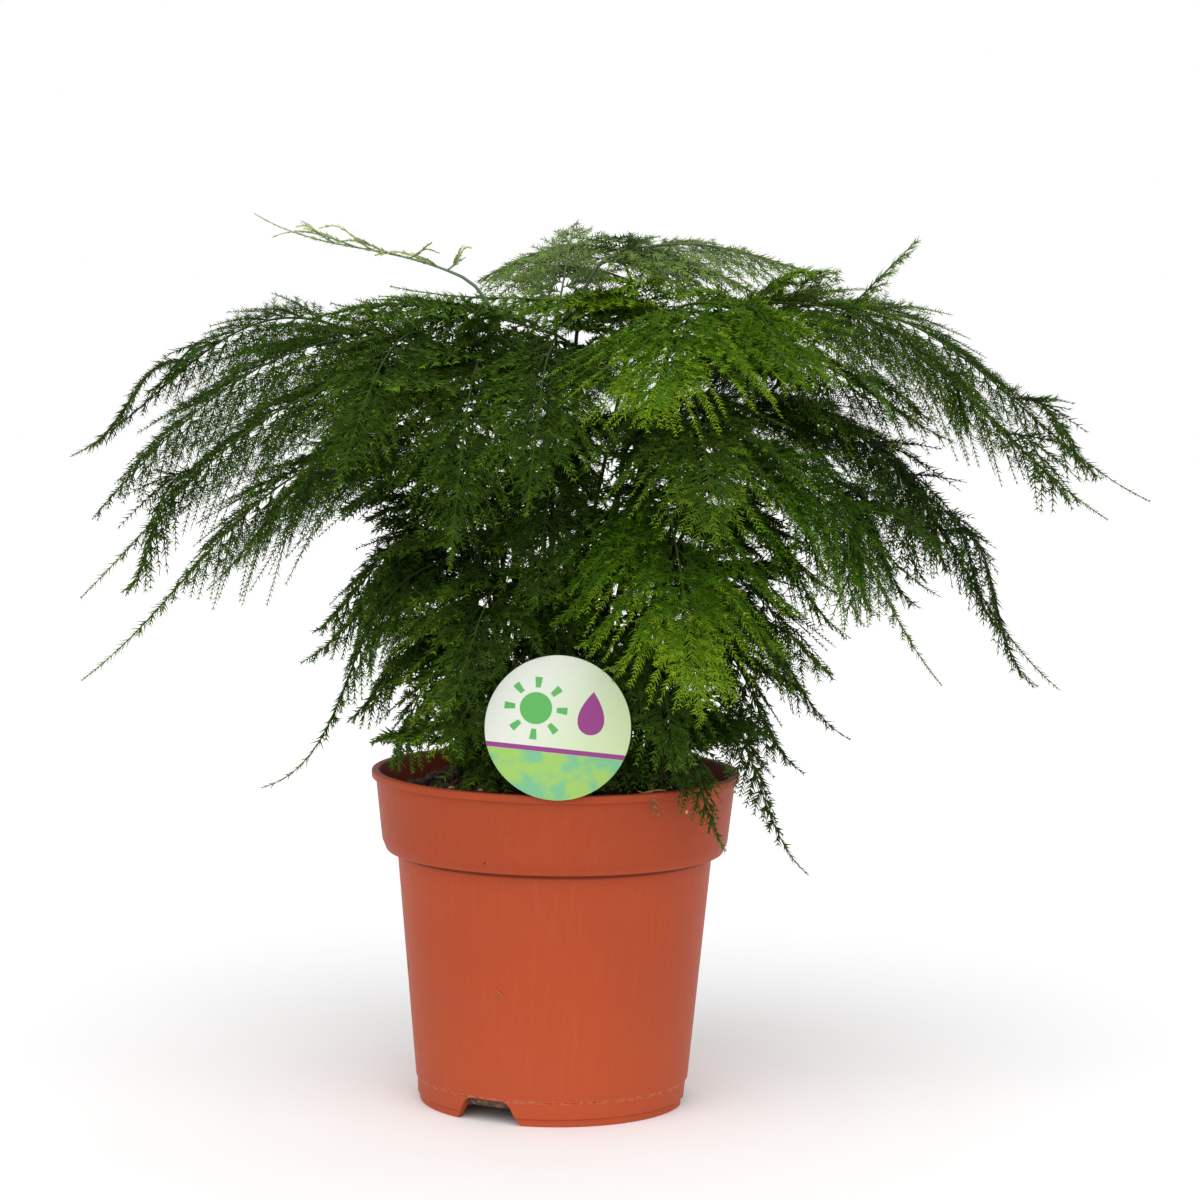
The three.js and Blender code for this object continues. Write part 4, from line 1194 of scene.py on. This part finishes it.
def placed_sprays(name, blade, root, form, rng, foliage):
    """The listed sprays of this frond."""
    parts = []
    for number, (frond, share, tip, width) in enumerate(PLACED_SPRAYS):
        if frond == name:
            start = blade.stem(root, [share])[0] if share <= 1 else blade.at([share - 1])[0][0]
            parts += spray(start, tip, width, 0, 20 + number, form, rng, foliage)
    return parts


def press_behind_label(points):
    """Foliage in front of the label lies back behind its disc, with a few tips over the edge."""
    middle_x, middle_z = LABEL[0] - 2.5, LABEL[2] - 3.5
    ahead = np.maximum(0, LABEL_BACK - points[:, 1])
    sight = points[:, 2] - SIGHT_SLOPE * ahead
    part = rise(np.hypot(points[:, 0] - middle_x, sight - middle_z), 35, 26)
    points[:, 1] += ahead * 0.97 * part**2 * (3 - 2 * part)


def frond_mesh(row, order, foliage):
    """Points, triangles, smooth marks and chart places of one whole frond."""
    rng = np.random.default_rng(SEED + order)
    name, tone, plan, *line = row
    blade = Blade(*line)
    root = np.array([*plan, COLLAR], float)
    foot = root - UP * (COLLAR - HOLE_FOOT - STEM_GAP)
    stem = blade.stem(root, np.linspace(0, 1, 15))
    path = np.concatenate([foot[None], stem, blade.at(np.linspace(0, 1, 25)[1:])[0]])[None]
    radii = np.interp(np.arange(path.shape[1]), [0, 12, 18, 39], [0.9, 0.72, 0.46, 0.13])[None]
    parts = [twigs(path, radii, 6, blade.sideways[None], 0.05, 0.75)]
    own, laid = {"pale": ("pale", "pale"), "bright": ("fine", "thin")}.get(tone, ("full", "inner"))
    parts += leafage(blade, order, FORMS[own], rng, foliage)
    if tone != "pale":
        parts += inner_sprays(blade, root, rng, foliage)
    parts += placed_sprays(name, blade, root, FORMS[laid], rng, foliage)
    points, faces = joined(parts)
    press_behind_label(points)
    smooth = np.concatenate([np.full(len(part[1]), part[3]) for part in parts])
    return points, faces, smooth, np.concatenate([part[2] for part in parts])


def tint_group():
    """The tint chart: leaf colours below the middle, twig colours above it."""
    tints = dict.fromkeys(TINTS, "Color")
    tree, sheet, given, out = group("frond_tint", {"Chart": "Vector", **tints}, {"Color": "Color"})
    chart = sheet.split(given["Chart"])
    paleness, kind = chart["X"], chart["Y"]
    leaf = sheet.mix(sheet.ramp(paleness, 0.1, 0.5), given["Deep"], given["Leaf"])
    leaf = sheet.mix(sheet.ramp(paleness, 0.45, 0.95), leaf, given["Tip"])
    warm = sheet.mix(1.0, leaf, colour(255, 236, 160), "MULTIPLY")
    leaf = sheet.mix(sheet.ramp(kind, 0.05, 0.45), leaf, warm)
    twig = sheet.mix(sheet.ramp(paleness, 0.05, 0.6), given["Stem"], given["Twig"])
    sheet.feed(out["Color"], sheet.mix(sheet.sum("GREATER_THAN", kind, 0.55), leaf, twig))
    return tree


TINTS = ("Deep", "Leaf", "Tip", "Twig", "Stem")  # the order of the colours of each tone
TONES = {
    "dark": ((32, 50, 15), (51, 80, 21), (94, 134, 40), (48, 68, 24), (34, 42, 26)),
    "mid": ((29, 47, 12), (51, 80, 18), (108, 146, 36), (56, 78, 22), (36, 44, 24)),
    "bright": ((29, 56, 5), (62, 101, 12), (126, 164, 32), (62, 88, 20), (38, 46, 22)),
    "pale": ((116, 142, 92), (150, 174, 116), (184, 202, 152), (118, 144, 110), (70, 98, 90)),
}


def foliage_material(tone, tint):
    """Soft green foliage tinted by the chart in its UV map, with painted light: a pale grey haze
    over the back of the top.
    """
    made, sheet = material(f"foliage_{tone}", 0.6, 0.06)
    tints = {key: colour(*value) for key, value in zip(TINTS, TONES[tone])}
    chart = sheet.add("ShaderNodeUVMap", uv_map="OFBake").outputs["UV"]
    leaf = sheet.add("ShaderNodeGroup", {"Chart": chart, **tints}, node_tree=tint)
    place = sheet.split(own_place(sheet))
    # painted light: a pale grey haze over the back of the top, where it stands against bright light
    painted_haze = sheet.times(sheet.ramp(place["Z"], 292, 326), sheet.ramp(place["Y"], 0, 26))
    sheet.surface(sheet.cover(leaf.outputs["Color"], painted_haze, 0.3, (150, 164, 126)))
    return made


class FernFoliageSettings(bpy.types.PropertyGroup):
    """How dense and fine the foliage is."""

    inner_sprays: bpy.props.FloatProperty(
        name="Inner sprays", description="Small blades on each stem below its shoulder", default=3.2
    )
    branch_pitch: bpy.props.FloatProperty(
        name="Branch pitch", description="Step between side branches, both sides counted",
        default=0.0032, unit="LENGTH",
    )
    sprig_pitch: bpy.props.FloatProperty(
        name="Sprig pitch", description="Step between the sprigs of a branch",
        default=0.0024, unit="LENGTH",
    )
    cluster_pitch: bpy.props.FloatProperty(
        name="Needle pitch", description="Step between pairs of needles",
        default=0.00122, unit="LENGTH",
    )
    needle_length: bpy.props.FloatProperty(
        name="Needle length", description="Length of a full needle", default=0.0049, unit="LENGTH"
    )
    needle_root: bpy.props.FloatProperty(
        name="Needle root", description="Width of a pair of needles where they meet",
        default=0.0008, unit="LENGTH",
    )


class FernBuildFronds(bpy.types.Operator):
    """Builds every frond: stem, side branches, sprigs and needles."""

    bl_idname = "fern.build_fronds"
    bl_label = "Fronds"

    def execute(self, context):
        tint = tint_group()
        looks = {tone: foliage_material(tone, tint) for tone in TONES}
        for order, row in enumerate(FRONDS):
            name, tone = row[:2]
            mesh = frond_mesh(row, order, context.scene.fern_foliage)
            piece = raise_mesh(f"foliage_{name}", *mesh)
            declare(piece, looks[tone], f"foliage_{tone}", f"frond_{name}")
        return {"FINISHED"}


# ---------------------------------------------------------------- label

LABEL_THICK, LABEL_TURN = 0.8, 5.3  # millimetres, and degrees that the print is turned
STRIPE_FOOT, STRIPE_TOP = -9.2, -7.3  # heights about the disc's middle; the field is below
SUN, SUN_RADIUS = (-8.6, 6.4), 5.9  # middle and radius of the sun's disc
DROP_AT, DROP_TOP, DROP_LENGTH = 11.6, 14.6, 16.0  # across, height of the tip, and length
SPIKE_SIZE = (6, 1.2, 12)  # the spike's block behind the disc
SPIKE_LINE = ((-71.0, 158), (-66, 127.5), (-51.8, 80))  # y and height from the block's foot down


def sun_mask(sheet, x, z):
    """A sun: a disc and eight short rays."""
    x, z = sheet.sum("ADD", x, -SUN[0]), sheet.sum("SUBTRACT", z, SUN[1])
    squares = sheet.sum("ADD", sheet.sum("POWER", x, 2.0), sheet.sum("POWER", z, 2.0))
    reach = sheet.sum("SQRT", squares)
    angle = sheet.sum("ARCTAN2", z, x)
    around = sheet.sum("ABSOLUTE", sheet.sum("SINE", sheet.times(angle, 4.0)))
    rays = sheet.times(sheet.ramp(reach, 7.5, 7.6), sheet.ramp(reach, 11.5, 11.4))
    rays = sheet.times(rays, sheet.ramp(around, 0.5, 0.42))
    return sheet.sum("MAXIMUM", sheet.ramp(reach, SUN_RADIUS, SUN_RADIUS - 0.1), rays)


def drop_mask(sheet, x, z):
    """A drop of water, pointed at its top and round below."""
    down = sheet.sum("MAXIMUM", sheet.sum("SUBTRACT", DROP_TOP, z), 0.0)
    left = sheet.sum("MAXIMUM", sheet.sum("SUBTRACT", DROP_LENGTH, down), 0.0)
    half = sheet.times(sheet.times(down, sheet.sum("SQRT", left)), 0.2)
    off = sheet.sum("ABSOLUTE", sheet.sum("SUBTRACT", x, DROP_AT))
    return sheet.ramp(sheet.sum("SUBTRACT", off, half), -0.02, -0.16)


def label_material(label):
    """Printed plastic: pale green, a green field with a purple stripe, a sun and a drop."""
    made, sheet = material("label_print", 0.3)
    place = own_place(sheet)
    middle = (LABEL[0], LABEL[1] - LABEL_THICK / 2, LABEL[2])
    turn = {"Vector": place, "Location": middle, "Rotation": (0, math.radians(LABEL_TURN), 0)}
    print_place = sheet.add("ShaderNodeMapping", turn, vector_type="TEXTURE").outputs[0]
    parts = sheet.split(print_place)
    x, z = parts["X"], parts["Z"]
    wash = sheet.ramp(sheet.sum("ADD", x, sheet.times(z, -0.35)), -20, 24)
    shade = sheet.mix(wash, colour(217, 221, 211), opaque(label.paper))
    blot = sheet.ramp(sheet.noise(place, 0.12, 2.0), 0.4, 0.6)
    green = sheet.mix(blot, opaque(label.field), colour(112, 182, 132))
    shade = sheet.mix(sheet.ramp(z, STRIPE_FOOT + 0.1, STRIPE_FOOT - 0.1), shade, green)
    # glitter flakes in the purple print: smoother, and paler specks that are painted glints
    glitter_and_glints = sheet.ramp(sheet.noise(place, 6.0, 2.0), 0.52, 0.66)
    purple = sheet.cover(opaque(label.accent), glitter_and_glints, 0.5, (184, 112, 166))
    foot = sheet.ramp(z, STRIPE_FOOT, STRIPE_FOOT + 0.1)
    stripe = sheet.times(foot, sheet.ramp(z, STRIPE_TOP, STRIPE_TOP - 0.1))
    shade = sheet.mix(stripe, shade, purple)
    shade = sheet.mix(sun_mask(sheet, x, z), shade, colour(84, 170, 82))
    shade = sheet.mix(drop_mask(sheet, x, z), shade, purple)
    printed = sheet.ramp(parts["Y"], -0.2, -0.35)
    shade = sheet.mix(printed, colour(214, 220, 208), shade)
    rough = sheet.ramp(glitter_and_glints, 0.0, 1.0, 0.34, 0.26)
    sheet.surface(shade, rough, (0.08, 0.0001, sheet.noise(place, 1.2, 2.0)))
    return made


class FernLabelSettings(bpy.types.PropertyGroup):
    """Size and colours of the plant label."""

    radius: bpy.props.FloatProperty(
        name="Radius", description="Radius of the disc", default=0.0265, unit="LENGTH"
    )
    paper: bpy.props.FloatVectorProperty(
        name="Ground", description="Pale ground colour", subtype="COLOR", size=3,
        min=0, max=1, default=colour(196, 214, 166)[:3],
    )
    field: bpy.props.FloatVectorProperty(
        name="Field", description="Colour of the field", subtype="COLOR", size=3,
        min=0, max=1, default=colour(150, 192, 92)[:3],
    )
    accent: bpy.props.FloatVectorProperty(
        name="Accent", description="Colour of the stripe and the drop", subtype="COLOR", size=3,
        min=0, max=1, default=colour(136, 38, 120)[:3],
    )


class FernBuildLabel(bpy.types.Operator):
    """Builds the round plant label and the spike that carries it."""

    bl_idname = "fern.build_label"
    bl_label = "Label"

    def execute(self, context):
        label = context.scene.fern_label
        deselect()
        bpy.ops.mesh.primitive_circle_add(
            vertices=128, radius=label.radius, fill_type="NGON",
            location=here(*LABEL), rotation=(math.pi / 2, 0, 0),
        )
        disc = bpy.context.object
        edit_all()
        push_out((0, -LABEL_THICK * MM, 0))
        bpy.ops.mesh.select_all(action="SELECT")
        bpy.ops.mesh.bevel(offset=0.22 * MM, segments=2, affect="EDGES")
        (y, foot), *line = SPIKE_LINE
        spike = scaled_cube(SPIKE_SIZE, here(LABEL[0], y, foot + SPIKE_SIZE[2] / 2))
        last = here(0, y, foot)
        select_where(spike, "FACE", lambda place: place.z < last.z + 0.1 * MM)
        for y, z in line:
            push_out(here(0, y, z) - last)
            last = here(0, y, z)
        cut(disc, spike, "UNION")
        settle(disc, "plant_label_card", 30)
        declare(disc, label_material(label), "label_plastic", "plant_label")
        return {"FINISHED"}


# ---------------------------------------------------------------- stage

CAMERA_PLACE, CAMERA_LENS = (15.9, -1443, 332.4), 114.72
CAMERA_DOWN, CAMERA_ROLL = 5.56, 0.81  # degrees below level, and degrees of turn


class FernStageSettings(bpy.types.PropertyGroup):
    """Floor and lights."""

    floor: bpy.props.FloatVectorProperty(
        name="Floor", description="Colour of the floor", subtype="COLOR", size=3,
        min=0, max=1, default=(0.98, 0.98, 0.98),
    )
    key: bpy.props.FloatProperty(
        name="Key light", description="Strength of the broad light from the front", default=2.1
    )
    sky: bpy.props.FloatProperty(
        name="Sky", description="Strength of the even light from all round", default=0.57
    )


def broad_light(name, azimuth, elevation, strength, softness):
    """A distant light as soft as a large panel, from a bearing and a height in degrees."""
    lamp = bpy.data.lights.new(name, "SUN")
    lamp.energy, lamp.angle = strength, math.radians(softness)
    obj = bpy.data.objects.new(name, lamp)
    obj.rotation_euler = (math.radians(90 - elevation), 0, math.radians(azimuth))
    bpy.context.scene.collection.objects.link(obj)


def white_sky(strength):
    """A world that lights evenly and that the camera sees as plain white."""
    world = bpy.data.worlds.new("studio")
    world.use_nodes = True
    sheet = Sheet(world.node_tree)
    backdrop = world.node_tree.nodes["Background"].inputs
    sheet.feed(backdrop["Color"], (1, 1, 1, 1))
    seen = sheet.add("ShaderNodeLightPath").outputs["Is Camera Ray"]
    sheet.feed(backdrop["Strength"], sheet.ramp(seen, 0.0, 1.0, strength, 1.0))
    return world


def long_camera():
    """A camera with a long lens that looks slightly down on the plant."""
    camera = bpy.data.cameras.new("camera")
    camera.lens, camera.sensor_width = CAMERA_LENS, 36
    camera.clip_start, camera.clip_end = 0.05, 50
    obj = bpy.data.objects.new("camera", camera)
    pitch = Matrix.Rotation(math.radians(90 - CAMERA_DOWN), 4, "X")
    roll = Matrix.Rotation(math.radians(CAMERA_ROLL), 4, "Z")
    obj.matrix_world = Matrix.Translation(here(*CAMERA_PLACE)) @ pitch @ roll
    bpy.context.scene.collection.objects.link(obj)
    return obj


class FernBuildStage(bpy.types.Operator):
    """Builds the floor, the soft lights and the camera."""

    bl_idname = "fern.build_stage"
    bl_label = "Stage"

    def execute(self, context):
        stage = context.scene.fern_stage
        deselect()
        bpy.ops.mesh.primitive_plane_add(size=8, location=(0, 0, 0))
        floor = bpy.context.object
        floor.name = "floor"
        paper, sheet = material("floor_paper", 0.9)
        place = sheet.add("ShaderNodeTexCoord").outputs["Object"]
        fine = sheet.times(sheet.ramp(sheet.noise(place, 30.0, 2.0), 0.3, 0.7), 0.05)
        sheet.surface(sheet.mix(fine, opaque(stage.floor), (0.9, 0.9, 0.9, 1)))
        floor.data.materials.append(paper)
        context.scene.world = white_sky(stage.sky)
        broad_light("key_light", -4, 46, stage.key, 78)
        broad_light("back_light", 160, 50, stage.key * 0.18, 80)
        context.scene.camera = long_camera()
        context.scene.view_settings.view_transform = "Standard"
        return {"FINISHED"}


# ---------------------------------------------------------------- panel and run

# every piece's settings beside the operator that builds it, in the panel's order
PIECES = (
    ("fern_pot", FernPotSettings, FernBuildPot),
    ("fern_peat", FernPeatSettings, FernBuildPeat),
    ("fern_foliage", FernFoliageSettings, FernBuildFronds),
    ("fern_label", FernLabelSettings, FernBuildLabel),
    ("fern_stage", FernStageSettings, FernBuildStage),
)


class FernPanel(bpy.types.Panel):
    """Lists the settings and the pieces."""

    bl_idname = "VIEW3D_PT_fern"
    bl_label = "Lace fern"
    bl_space_type = "VIEW_3D"
    bl_region_type = "UI"
    bl_category = "Fern"

    def draw(self, context):
        for key, kind, builder in PIECES:
            box = self.layout.box()
            for name in kind.__annotations__:
                box.prop(getattr(context.scene, key), name)
            box.operator(builder.bl_idname)


def register():
    """Registers the settings, the operators and the panel."""
    for key, settings, builder in PIECES:
        bpy.utils.register_class(settings)
        setattr(bpy.types.Scene, key, bpy.props.PointerProperty(type=settings))
        bpy.utils.register_class(builder)
    bpy.utils.register_class(FernPanel)


def unregister():
    """Takes them away again."""
    bpy.utils.unregister_class(FernPanel)
    for key, settings, builder in reversed(PIECES):
        bpy.utils.unregister_class(builder)
        delattr(bpy.types.Scene, key)
        bpy.utils.unregister_class(settings)


def main():
    register()
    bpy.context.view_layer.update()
    bpy.ops.fern.build_stage()
    bpy.ops.fern.build_pot()
    bpy.ops.fern.build_peat()
    bpy.ops.fern.build_label()
    bpy.ops.fern.build_fronds()
    deselect()


if __name__ == "__main__":
    main()
